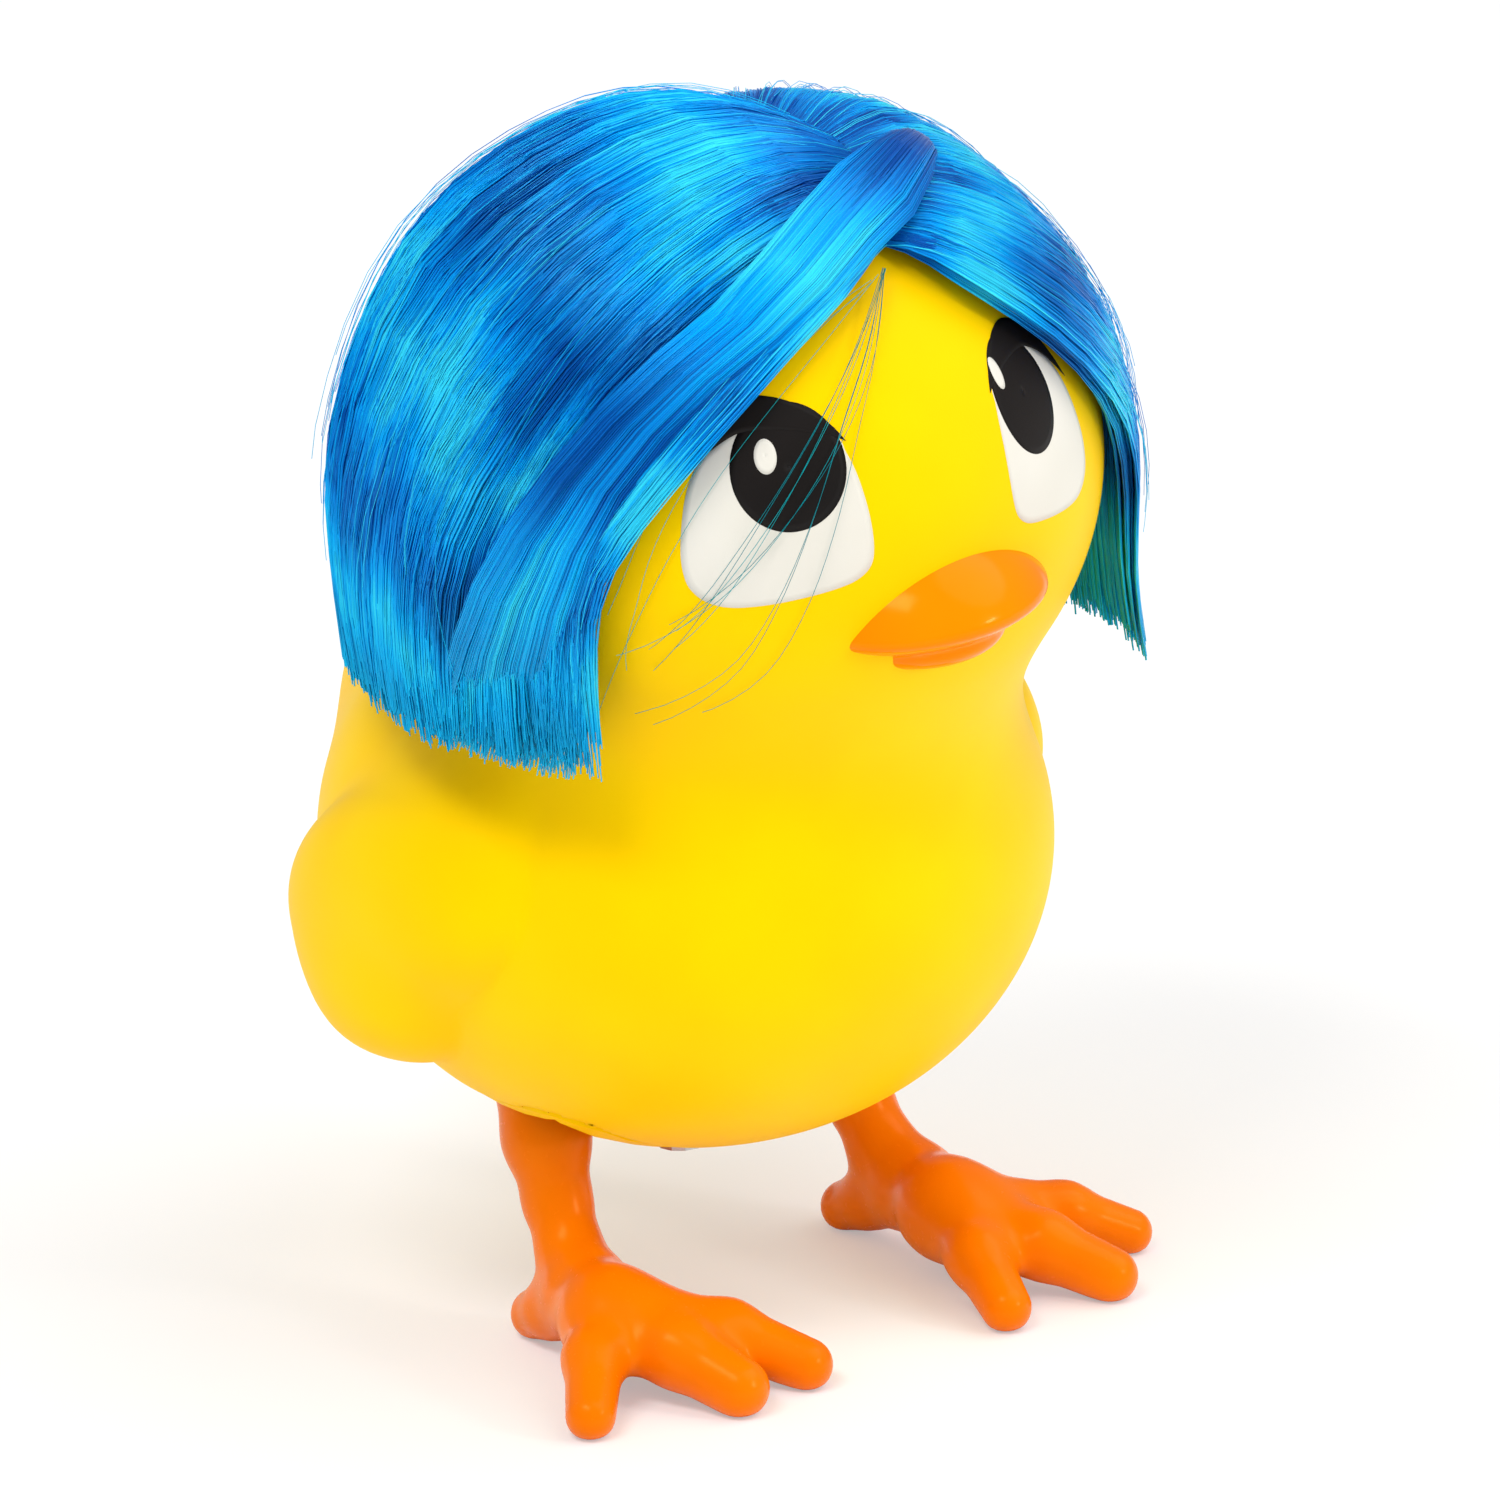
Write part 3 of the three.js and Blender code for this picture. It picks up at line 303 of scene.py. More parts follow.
def skin(distance, low, high, cell, slides=3):
    axes = [np.arange(low[i], high[i] + cell, cell) for i in range(3)]
    grid = np.stack(np.meshgrid(*axes, indexing="ij"), -1)
    shape = grid.shape[:3]
    values = distance(grid.reshape(-1, 3)).reshape(shape)
    inside = values < 0
    corners = list(itertools.product((0, 1), repeat=3))
    window = [tuple(slice(c, shape[a] - 1 + c) for a, c in enumerate(corner)) for corner in corners]
    count = sum(inside[w].astype(np.int8) for w in window)
    crossed = (count > 0) & (count < 8)
    at_corner = np.stack([values[w][crossed] for w in window], 1)
    index = np.full(crossed.shape, -1)
    index[crossed] = np.arange(crossed.sum())
    # A point goes to the middle of the places where the skin crosses its cell's edges.
    total = np.zeros((len(at_corner), 3))
    hits = np.zeros(len(at_corner))
    for i, j in itertools.combinations(range(8), 2):
        if sum(a != b for a, b in zip(corners[i], corners[j])) != 1:
            continue
        a, b = at_corner[:, i], at_corner[:, j]
        differs = (a < 0) != (b < 0)
        share = np.where(differs, a / np.where(differs, a - b, 1), 0)
        spot = np.array(corners[i]) + share[:, None] * (np.array(corners[j]) - np.array(corners[i]))
        total += np.where(differs[:, None], spot, 0)
        hits += differs
    points = grid[:-1, :-1, :-1][crossed] + cell * total / hits[:, None]
    # The points slide along the slope onto the true surface.
    for _ in range(slides):
        slope = slope_of(distance, points)
        move = distance(points)[:, None] * slope / np.maximum((slope * slope).sum(-1), 0.2)[:, None]
        points -= np.clip(move, -cell / 2, cell / 2)
    # A quad joins the four cells round each grid edge that the skin crosses.
    quads = []
    for axis in range(3):
        first, second = (axis + 1) % 3, (axis + 2) % 3
        here = [slice(0, shape[a] - 1) if a == axis else slice(1, shape[a] - 1) for a in range(3)]
        after = [slice(1, shape[a]) if a == axis else here[a] for a in range(3)]
        low_side, high_side = inside[tuple(here)], inside[tuple(after)]
        spots = np.argwhere(low_side != high_side)
        leaves = low_side[tuple(spots.T)]
        spots = spots + [0 if a == axis else 1 for a in range(3)]
        around = []
        for step_first, step_second in ((1, 1), (0, 1), (0, 0), (1, 0)):
            spot = spots.copy()
            spot[:, first] -= step_first
            spot[:, second] -= step_second
            around.append(index[tuple(spot.T)])
        quad = np.stack(around, 1)
        quads.append(np.where(leaves[:, None], quad, quad[:, ::-1]))
    return points, np.concatenate(quads)


ball_quads = skin(lambda p: ellipsoid_distance(p, [2, 2, 2]), (-3, -3, -3), (3, 3, 3), 0.5)[1]
print("a test ball has", len(ball_quads), "quads")

# %% [markdown]
# Every new piece goes through one function. It shifts the points into the imported frame and says
# which body the piece rides on, which material it has and which CAD nodes it takes the place of.


# %% Make an object of points in millimetres
def make_piece(name, points, faces, material, body, replaced=(), smooth=True):
    mesh = bpy.data.meshes.new(name)
    mesh.from_pydata(((np.asarray(points) + SHIFT) * MM).tolist(), [], np.asarray(faces).tolist())
    if smooth:
        mesh.shade_smooth()
    mesh.materials.append(material)
    mesh.validate()
    piece = bpy.data.objects.new(name, mesh)
    bpy.context.scene.collection.objects.link(piece)
    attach(piece, body)
    if replaced:
        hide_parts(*replaced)
    print(f"{name}: {len(mesh.vertices)} points, {len(mesh.polygons)} faces")
    return piece


# %% [markdown]
# ## The vinyl body
# Head, body, tail and both wings are one hollow moulding, so they are one skin here.
# The sizes are the CAD model's own, but the wing is a little squarer than an ellipsoid, so that its
# rim stands steeply on the flank. It has a sharp crease under it and a soft join above it, so its
# blend grows with height. The wall is hollowed by a second distance, set back by its thickness.

# %% The body's shape
BODY = {"centre": (0, 4.5, 27), "radii": (20.4, 21.2, 17.2)}
HEAD = {"centre": (0, -2, 50.9), "radii": (19.9, 19.6, 18.2)}
TAIL = {"centre": (0, 23.4, 32), "radii": (6, 6.4, 4.4), "lift": 0.45}
NECK_BLEND = 7.0
TAIL_BLEND = 9.0
SHELL_WALL = 1.6
WING = {"centre": (16.4, 5.8, 27.4), "radii": (6.6, 10.8, 7.2), "pitch": -0.42, "flare": 0.06}
WING_TIP = {"centre": (16.8, 7.2, 22.3), "radii": (5.6, 5.8, 4.8), "pitch": -0.1, "flare": 0.06}
WING_TIP_BLEND = 2.4
PAD_POWER = 2.2
WING_BLEND = {"low": 0.2, "high": 3.0, "from": 31.0, "to": 38.0}
HATCH = {"half_width": 14.6, "front": -2.4, "back": 11.6, "corner": 4.0, "top": 17.8}
ARBOR_AT = (14.2, 23.4)
ARBOR_HOLE = 1.3
HEAD_CENTRE = np.array(HEAD["centre"], float)


def pad_distance(points, radii):
    """A squarer ellipsoid, whose rim stands steeper on the body."""
    shares = np.abs(points) / radii
    reach = np.maximum((shares**PAD_POWER).sum(-1) ** (1 / PAD_POWER), 0.001)
    slope = length_of((shares / reach[:, None]) ** (PAD_POWER - 1) / radii)
    return (reach - 1) / np.maximum(slope, 0.001)


def lobe_distance(points, lobe):
    cx, cy, cz = lobe["centre"]
    side, along, up = np.abs(points[:, 0]) - cx, points[:, 1] - cy, points[:, 2] - cz
    out = side * math.cos(lobe["flare"]) + up * math.sin(lobe["flare"])
    rise = up * math.cos(lobe["flare"]) - side * math.sin(lobe["flare"])
    cos_pitch, sin_pitch = math.cos(lobe["pitch"]), math.sin(lobe["pitch"])
    turned = [out, along * cos_pitch + rise * sin_pitch, rise * cos_pitch - along * sin_pitch]
    return pad_distance(np.stack(turned, -1), lobe["radii"])


def trunk_distance(points):
    body = ellipsoid_distance(points - BODY["centre"], BODY["radii"])
    head = ellipsoid_distance(points - HEAD_CENTRE, HEAD["radii"])
    x, y, z = (points - TAIL["centre"]).T
    cos_lift, sin_lift = math.cos(TAIL["lift"]), math.sin(TAIL["lift"])
    turned = np.stack([x, y * cos_lift + z * sin_lift, z * cos_lift - y * sin_lift], -1)
    tail = ellipsoid_distance(turned, TAIL["radii"])
    return blended(blended(body, head, NECK_BLEND), tail, TAIL_BLEND)


def shell_distance(points):
    wing = blended(lobe_distance(points, WING), lobe_distance(points, WING_TIP), WING_TIP_BLEND)
    share = smooth_step((points[:, 2] - WING_BLEND["from"]) / (WING_BLEND["to"] - WING_BLEND["from"]))
    return blended(trunk_distance(points), wing, mix(WING_BLEND["low"], WING_BLEND["high"], share))


def hatch_distance(points, inset=0.0):
    middle = (HATCH["front"] + HATCH["back"]) / 2
    half_depth = (HATCH["back"] - HATCH["front"]) / 2 - inset
    corner = HATCH["corner"]
    over_x = np.abs(points[:, 0]) - (HATCH["half_width"] - inset - corner)
    over_y = np.abs(points[:, 1] - middle) - (half_depth - corner)
    outside = np.hypot(np.maximum(over_x, 0), np.maximum(over_y, 0))
    return outside + np.minimum(np.maximum(over_x, over_y), 0) - corner


def wall_distance(points):
    wall = np.maximum(shell_distance(points), -(trunk_distance(points) + SHELL_WALL))
    opening = np.maximum(hatch_distance(points), points[:, 2] - HATCH["top"])
    bore = np.hypot(points[:, 1] - ARBOR_AT[0], points[:, 2] - ARBOR_AT[1]) - ARBOR_HOLE
    bore = np.maximum(bore, -points[:, 0])
    return np.maximum(np.maximum(wall, -opening), -bore)


SKIN_CELL = 0.45
SHELL_BOX = (-25, -24, 9), (25, 31.5, 70)
shell_points, shell_quads = skin(wall_distance, *SHELL_BOX, SKIN_CELL)
make_piece("vinyl_body", shell_points, shell_quads, YELLOW_VINYL, "chick", ["body_shell"])

# %% [markdown]
# ## The photograph's camera
# The camera stands at the chick's front right, 20 degrees above the horizon.
# Some pieces are drawn where the photograph shows them: a line from the camera through the pixel
# is followed until it meets the head, so each such place sits on what carries it.

# %% The camera's place and axes
CAMERA_AZIMUTH, CAMERA_ELEVATION, CAMERA_ROLL = (math.radians(a) for a in (-39, 20, -2))
CAMERA_DISTANCE = 600.0
CAMERA_TARGET = np.array([0, -2, 34.0])
PIXELS_PER_RADIAN = 18 * CAMERA_DISTANCE
PHOTO_SIDE = 1500
PHOTO_MIDDLE = np.array([755.0, 743.0])
BACK = np.array([
    math.sin(CAMERA_AZIMUTH) * math.cos(CAMERA_ELEVATION),
    -math.cos(CAMERA_AZIMUTH) * math.cos(CAMERA_ELEVATION),
    math.sin(CAMERA_ELEVATION),
])
level_right = np.array([math.cos(CAMERA_AZIMUTH), math.sin(CAMERA_AZIMUTH), 0])
level_up = np.cross(BACK, level_right)
RIGHT = level_right * math.cos(CAMERA_ROLL) + level_up * math.sin(CAMERA_ROLL)
UP = -level_right * math.sin(CAMERA_ROLL) + level_up * math.cos(CAMERA_ROLL)
CAMERA_AT = CAMERA_TARGET + CAMERA_DISTANCE * BACK
RAY = {"span": 80, "stride": 0.8, "shortest": 0.05, "close": 0.002}


def photo_point(pixel, lift):
    """The place over the shell, lifted by so many millimetres, that the photograph shows at a pixel."""
    across, down = (np.array(pixel) - PHOTO_MIDDLE) / PIXELS_PER_RADIAN
    ray = -BACK + RIGHT * across - UP * down
    ray /= np.linalg.norm(ray)
    travelled, best = CAMERA_DISTANCE - RAY["span"], (math.inf, 0)
    while travelled < CAMERA_DISTANCE + RAY["span"]:
        gap = shell_distance((CAMERA_AT + ray * travelled)[None])[0] - lift
        best = min(best, (gap, travelled))
        if gap < RAY["close"]:
            break
        travelled += max(gap * RAY["stride"], RAY["shortest"])
    return CAMERA_AT + ray * best[1]


print("beak tip:", photo_point((996, 620), 0).round(1))

# %% [markdown]
# ## The beak
# The beak is one glossy moulding. Its upper half is what two large ellipsoids share, so it has the
# thin rim and the pointed corners of a bill. The lower half is a short lip under it.
# It stops just under the vinyl's surface, in the socket that it plugs into.

# %% Make the beak
BEAK = {"at": (-0.6, -17.2, 46.5), "turn": -0.1, "tilt": 0.1}
BEAK_TOP = {"centre": (0, 0, -2.4), "radii": (7.7, 7.5, 7.1)}
BEAK_UNDERSIDE = {"centre": (0, 0, 2.9), "radii": (9, 8.6, 5.1)}
BEAK_LOWER = {"centre": (-0.2, 0.2, -1.5), "radii": (4.6, 5.5, 1.7)}
RIM_ROUNDING = 0.5
MOUTH_BLEND = 0.25
BEAK_SOCKET = 0.5
BEAK_FRAME = np.array(Matrix.Rotation(BEAK["turn"], 3, "Z") @ Matrix.Rotation(-BEAK["tilt"], 3, "Y"))


def beak_distance(points):
    own = (points - BEAK["at"]) @ BEAK_FRAME
    forms = (BEAK_TOP, BEAK_UNDERSIDE, BEAK_LOWER)
    top, underside, lower = (ellipsoid_distance(own - form["centre"], form["radii"]) for form in forms)
    bill = blended(rounded_cut(top, underside, RIM_ROUNDING), lower, MOUTH_BLEND)
    return np.maximum(bill, -(trunk_distance(points) + BEAK_SOCKET))


BEAK_BOX = (-9.5, -27, 40), (8.5, -14, 53)
BEAK_CELL = 0.22
beak_points, beak_quads = skin(beak_distance, *BEAK_BOX, BEAK_CELL)
make_piece("glossy_beak", beak_points, beak_quads, ORANGE_GLOSS, "chick", ["beak"])

# %% [markdown]
# ## The legs
# Each leg is one soft PVC moulding: a hub on the motor's shaft, a shank, an arched foot and four toes.
# The toes melt into the foot, so each joins with a wide blend. The two feet stand differently.
# The soles are flat, because they stand on the table.

# %% Make both legs
LEFT_ANKLE, LEFT_PALM = (11.4, -1.2, 4.1, 2.2), (10.8, -4.8, 3.7, 2.3)
LEFT_LEG = [
    [
        (10.6, 6.1, 16.2, 2.3), (10.7, 4.6, 11.4, 2.35), (10.9, 3, 8, 1.75), (11.1, 1.4, 5.6, 1.85),
        LEFT_ANKLE, LEFT_PALM,
    ],
    [LEFT_PALM, (16.6, -8, 2.8, 1.6), (19.9, -9.8, 1.15, 1.35)],
    [LEFT_PALM, (12.5, -10.8, 2.8, 1.85), (14.6, -14.2, 1.35, 1.6)],
    [LEFT_PALM, (8.6, -9.8, 2.9, 1.7), (7.5, -13.4, 1.25, 1.45)],
    [(11.2, -0.8, 3.4, 2), (10.9, 2.2, 2.3, 1.65), (10.6, 4.2, 1.3, 1.5)],
]
RIGHT_ANKLE, RIGHT_PALM = (-12.1, -0.4, 4.1, 2.2), (-13, -3.6, 3.7, 2.3)
RIGHT_LEG = [
    [
        (-10.6, 6.1, 16.2, 2.3), (-10.7, 4.6, 11.4, 2.35), (-10.9, 3.6, 8, 1.8), (-11.4, 2, 5.6, 1.75),
        RIGHT_ANKLE, RIGHT_PALM,
    ],
    [RIGHT_PALM, (-16.2, -6, 2.9, 1.65), (-18.9, -8.9, 1.2, 1.4)],
    [RIGHT_PALM, (-12.2, -8.3, 2.9, 1.95), (-10.9, -12.1, 1.45, 1.7)],
    [RIGHT_PALM, (-8.4, -8.1, 2.8, 1.75), (-5.9, -11.9, 1.3, 1.5)],
    [(-12.2, -0.4, 3.4, 2), (-12.3, 2.3, 2.3, 1.65), (-12.2, 4.2, 1.3, 1.5)],
]
HUB = {"inner": 6.9, "outer": 12.4, "radius": 2.6, "bore": 1.05}
LIMB_BLEND = 1.0
TOE_BLEND = 1.6
HUB_ROUNDING = 0.3
SOLE_ROUNDING = 0.3
LEG_CELL = 0.3


def leg_distance(points, limbs):
    leg = limb_distance(points, limbs[0], LIMB_BLEND)
    for stations in limbs[1:]:
        leg = blended(leg, limb_distance(points, stations, LIMB_BLEND), TOE_BLEND)
    from_shaft = np.hypot(points[:, 1] - LEG_SHAFT_AT[1], points[:, 2] - LEG_SHAFT_AT[2])
    middle, half = (HUB["inner"] + HUB["outer"]) / 2, (HUB["outer"] - HUB["inner"]) / 2
    beside_middle = np.abs(np.abs(points[:, 0]) - middle) - half
    hub = rounded_cut(from_shaft - HUB["radius"], beside_middle, HUB_ROUNDING)
    leg = blended(leg, hub, LIMB_BLEND)
    leg = np.maximum(leg, HUB["bore"] - from_shaft)
    return rounded_cut(leg, -points[:, 2], SOLE_ROUNDING)


for side, limbs, (low_x, high_x) in (("left", LEFT_LEG, (4.5, 23)), ("right", RIGHT_LEG, (-23, -3.5))):
    low, high = (low_x, -17, -0.8), (high_x, 10, 22.5)
    leg_points, leg_quads = skin(lambda p: leg_distance(p, limbs), low, high, LEG_CELL)
    make_piece(f"{side}_foot", leg_points, leg_quads, ORANGE_PVC, "legs", [f"{side}_leg"])

# %% [markdown]
# ## The winding knob
# The knob on the left flank is a small ABS wheel with twelve ribs for the fingers.
# Its radius follows a cosine round the axis, and its edges are rounded.

# %% Make the knob
KNOB = {"radius": 3.9, "inner": 22.9, "outer": 26.4, "ribs": 12, "rib_depth": 0.35, "rounding": 0.7}
KNOB_HUB = {"radius": 1.8, "inner": 21.2, "rounding": 0.2}
KNOB_DISH = {"radii": (0.5, 2.4, 2.4), "rounding": 0.3}
KNOB_REACH = 4.6
KNOB_CELL = 0.16


def knob_distance(points):
    x, y, z = points[:, 0], points[:, 1] - ARBOR_AT[0], points[:, 2] - ARBOR_AT[1]
    radius = np.hypot(y, z)
    ribs = KNOB["radius"] - KNOB["rib_depth"] / 2 * (1 - np.cos(KNOB["ribs"] * np.arctan2(z, y)))
    middle, half = (KNOB["inner"] + KNOB["outer"]) / 2, (KNOB["outer"] - KNOB["inner"]) / 2
    wheel = rounded_cut(radius - ribs, np.abs(x - middle) - half, KNOB["rounding"])
    hub_middle, hub_half = (KNOB_HUB["inner"] + middle) / 2, (middle - KNOB_HUB["inner"]) / 2
    hub = rounded_cut(radius - KNOB_HUB["radius"], np.abs(x - hub_middle) - hub_half, KNOB_HUB["rounding"])
    dish = ellipsoid_distance(np.stack([x - KNOB["outer"], y, z], -1), KNOB_DISH["radii"])
    return rounded_cut(np.minimum(wheel, hub), -dish, KNOB_DISH["rounding"])


knob_low = (20.6, ARBOR_AT[0] - KNOB_REACH, ARBOR_AT[1] - KNOB_REACH)
knob_high = (27, ARBOR_AT[0] + KNOB_REACH, ARBOR_AT[1] + KNOB_REACH)
knob_points, knob_quads = skin(knob_distance, knob_low, knob_high, KNOB_CELL)
make_piece("ribbed_knob", knob_points, knob_quads, WHITE_ABS, "winder", ["winding_knob"])

# %% [markdown]
# ## The printed eyes
# The eyes are pad prints: thin layers of ink on the curved vinyl. Each layer is a closed patch a few
# hundredths of a millimetre thick that follows the head. A patch has a crisp edge at any distance,
# which a painted texture would not have. Outlines are angles seen from the middle of the head,
# in degrees: how far to the side, and how far up. The prints sit slightly turned and tilted.

# %% Put a patch of ink on the head
FACE_TURN, FACE_TILT = math.radians(-5.2), math.radians(4.0)
INK_DEPTH = 0.06
BEYOND_HEAD = 30.0
HALVINGS = 30
MERGE_WITHIN = 0.002
SMALLEST_RING = 0.002


def on_face(side, angles, rise):
    sideways, up = np.radians(angles).T
    x, y, z = side * np.sin(sideways) * np.cos(up), -np.cos(sideways) * np.cos(up), np.sin(up)
    direction = np.stack([x, y, z], -1)
    tilt = np.array(Matrix.Rotation(-FACE_TILT, 3, "Y"))
    turn = np.array(Matrix.Rotation(FACE_TURN, 3, "Z"))
    direction = direction @ (turn @ tilt).T
    near, far = np.zeros(len(direction)), np.full(len(direction), BEYOND_HEAD)
    for _ in range(HALVINGS):
        radius = (near + far) / 2
        within = trunk_distance(HEAD_CENTRE + direction * radius[:, None]) < rise
        near, far = np.where(within, radius, near), np.where(within, far, radius)
    return HEAD_CENTRE + direction * near[:, None]


def smooth_curve(points, steps, closed=False):
    points = np.array(points, float)
    count = len(points)
    spots = []
    for i in range(count if closed else count - 1):
        picks = [(i + k) % count if closed else min(max(i + k, 0), count - 1) for k in (-1, 0, 1, 2)]
        a, b, c, d = points[picks]
        for t in np.arange(steps) / steps:
            spot = 2 * b + (c - a) * t
            spot = spot + (2 * a - 5 * b + 4 * c - d) * t**2
            spots.append(0.5 * (spot + (3 * b - a - 3 * c + d) * t**3))
    if not closed:
        spots.append(points[-1])
    return np.array(spots)


def point_outwards(piece, merged=False):
    """Turns every face outwards, after merging the points that meet where that is asked."""
    tidy = bmesh.new()
    tidy.from_mesh(piece.data)
    if merged:
        bmesh.ops.remove_doubles(tidy, verts=tidy.verts, dist=MERGE_WITHIN * MM)
        bmesh.ops.dissolve_degenerate(tidy, edges=tidy.edges, dist=MERGE_WITHIN / 2 * MM)
    bmesh.ops.recalc_face_normals(tidy, faces=tidy.faces)
    tidy.to_mesh(piece.data)
    tidy.free()


def ink_patch(name, side, rows, wraps, rise, material):
    """Makes a thin patch from a grid of angles. Walls close its edge, and points that meet are merged."""
    count, width = rows.shape[:2]
    flat = rows.reshape(-1, 2)
    points = np.concatenate([on_face(side, flat, rise), on_face(side, flat, rise - INK_DEPTH)])
    total = count * width
    faces = []
    for i in range(count - 1):
        for j in range(width if wraps else width - 1):
            k = (j + 1) % width
            quad = [i * width + j, i * width + k, (i + 1) * width + k, (i + 1) * width + j]
            faces += [quad, [q + total for q in quad[::-1]]]
    rims = [[(0, j) for j in range(width)], [(count - 1, j) for j in range(width)][::-1]]
    if not wraps:
        rims += [[(i, 0) for i in range(count)][::-1], [(i, width - 1) for i in range(count)]]
    for rim in rims:
        rim = [i * width + j for i, j in rim]
        for a, b in zip(rim, rim[1:] + (rim[:1] if wraps else [])):
            if a != b:
                faces.append([b, a, a + total, b + total])
    point_outwards(make_piece(name, points, faces, material, "chick"), merged=True)


def rings_to(outline, middle, rings):
    """Shrinks an outline ring by ring, to almost a point at its middle."""
    shares = np.linspace(1, SMALLEST_RING, rings)[:, None, None]
    return np.array(middle) + (outline[None] - np.array(middle)) * shares


# %% [markdown]
# Each eye is four layers: the white, the pupil, the black lid and a glint. Each layer stands a little
# higher than the one under it. The left print is narrower than the right one, as in the photograph.

# %% Print both eyes
EYE_WHITE = [
    (17.3, 21.8), (15.7, 18.6), (14.7, 15.4), (14.0, 11.4), (13.6, 7.4), (13.6, 3.2),
    (14.3, 0.3), (16.3, -1.5),
    (19.6, -2.5), (26, -3.3), (32.3, -3.7), (37.3, -3.5), (40.6, -2.4), (42.7, -0.6),
    (43.8, 1.8), (44.1, 6.1),
    (43.2, 13), (41.9, 17.3), (40.1, 20.3), (37.6, 22.3), (34.2, 24.4), (26, 26.5),
]
EYE_WHITE_MIDDLE = (28, 11)
PUPIL = {"middle": (25.7, 18.0), "radii": (9.7, 10.3)}
LID_TOP = [
    (15.3, 20.4), (17.1, 23.1), (19.4, 25.2), (22.6, 27.5), (26, 29.0), (29.6, 29.8),
    (32.6, 29.6), (36, 28.2),
    (39.2, 25.6), (42, 21.6), (44.6, 15.4),
]
LID_UNDER = [
    (15.3, 20.4), (17.4, 21.6), (20, 22.4), (23, 23.2), (26, 23.8), (29.6, 24.2), (32, 24.2), (34.4, 23.7),
    (37.7, 22), (40.3, 20), (44.6, 15.4),
]
GLINTS = {"right": ((29.3, 20.0), (1.9, 2.8)), "left": ((18.4, 22.8), (1.2, 2.8))}
INNER_EDGE, SQUEEZES = 14.0, {"right": 1.0, "left": 0.76}
RISE = {"white": 0.02, "pupil": 0.03, "lid": 0.036, "glint": 0.045}
OUTLINE_STEPS = 6
ANGLES = np.linspace(0, 2 * math.pi, 72, endpoint=False)
ROUND = np.stack([np.cos(ANGLES), np.sin(ANGLES)], -1)


def squeezed(angles, factor):
    return [(INNER_EDGE + (sideways - INNER_EDGE) * factor, up) for sideways, up in angles]


for name, side in (("right", -1), ("left", 1)):
    factor = SQUEEZES[name]
    white_middle, pupil_middle = squeezed([EYE_WHITE_MIDDLE, PUPIL["middle"]], factor)
    white = smooth_curve(squeezed(EYE_WHITE, factor), OUTLINE_STEPS, closed=True)
    ink_patch(f"{name}_eye_white", side, rings_to(white, white_middle, 14), True, RISE["white"], WHITE_INK)
    pupil = np.array(pupil_middle) + ROUND * PUPIL["radii"] * [factor, 1]
    ink_patch(f"{name}_pupil", side, rings_to(pupil, pupil_middle, 9), True, RISE["pupil"], BLACK_INK)
    top, under = (smooth_curve(squeezed(edge, factor), OUTLINE_STEPS) for edge in (LID_TOP, LID_UNDER))
    lid = np.stack([mix(top, under, share) for share in np.linspace(0, 1, 7)])
    ink_patch(f"{name}_lid", side, lid, False, RISE["lid"], BLACK_INK)
    glint_middle, radii = GLINTS[name]
    glint = np.array(glint_middle) + ROUND[::2] * radii
    ink_patch(f"{name}_glint", side, rings_to(glint, glint_middle, 4), True, RISE["glint"], WHITE_INK)

# %% [markdown]
# ## The hair's material
# Doll hair is extruded nylon: blue filament with a bright sheen. Light goes into a filament and
# comes out tinted, so its highlight is cyan and not white. Each strand has its own tone, from deep
# blue to cyan, and the tone also carries painted sheen bands. Towards the cut ends the colour is
# painted lighter and more teal, for the light that shines through the thin ends.

# %% Make the blue nylon
NYLON_TONES = [(0.08, "#0052b4"), (0.38, "#0090ea"), (0.66, "#00b8ff"), (0.94, "#3ce4ff")]
NYLON_LIT_ENDS = "#10c8e8"


def nylon(name, tone_of, tones=NYLON_TONES, lit_end_colour=NYLON_LIT_ENDS, gloss=0.9):
    material, tree = new_material(name)
    tone = tone_of(tree)
    ramp = colour_ramp(tree, tone, tones)
    reach = add(tree, "ShaderNodeAttribute", attribute_name="reach")
    # The colour is painted lighter towards the cut ends, for light that shines through them.
    lit_near_end = {"Value": reach.outputs["Fac"], "From Min": 0.7, "From Max": 1.0, "To Max": 0.6}
    ends = add(tree, "ShaderNodeMapRange", lit_near_end)
    colour = add(tree, "ShaderNodeMix", {"Factor": ends.outputs["Result"]}, data_type="RGBA")
    tree.links.new(ramp.outputs["Color"], colour.inputs[6])
    colour.inputs[7].default_value = linear(lit_end_colour)
    inputs = {
        "Base Color": colour.outputs[2],
        "Roughness": 0.28,
        "IOR": 1.55,
        "Specular IOR Level": gloss,
        "Specular Tint": linear("#50d8ff"),
    }
    finish_material(tree, add(tree, "ShaderNodeBsdfPrincipled", inputs))
    return material


def strand_tone(tree):
    return add(tree, "ShaderNodeAttribute", attribute_name="tone").outputs["Fac"]


NYLON = nylon("Blue nylon filament", strand_tone)
# A single filament in front of the yellow face lets the yellow through, so its colour is painted teal for
# that light.
SEE_THROUGH_TONES = [(0.1, "#007c88"), (0.9, "#10b4b8")]
SINGLE_NYLON = nylon("Single nylon filament", strand_tone, SEE_THROUGH_TONES, "#10b0a8", 0.3)
print("made", NYLON.name)

# %% [markdown]
# ## Where the hair lies
# The hair is rooted along a parting in the middle of the head and combed down in two curtains.
# A place in a curtain has three shares: along the parting, down the strand, and out from the head.
# A strand first follows the head from the parting, and then hangs down to where it is cut.
# The parting leans a little to the chick's left behind its front end, as the photograph shows it.

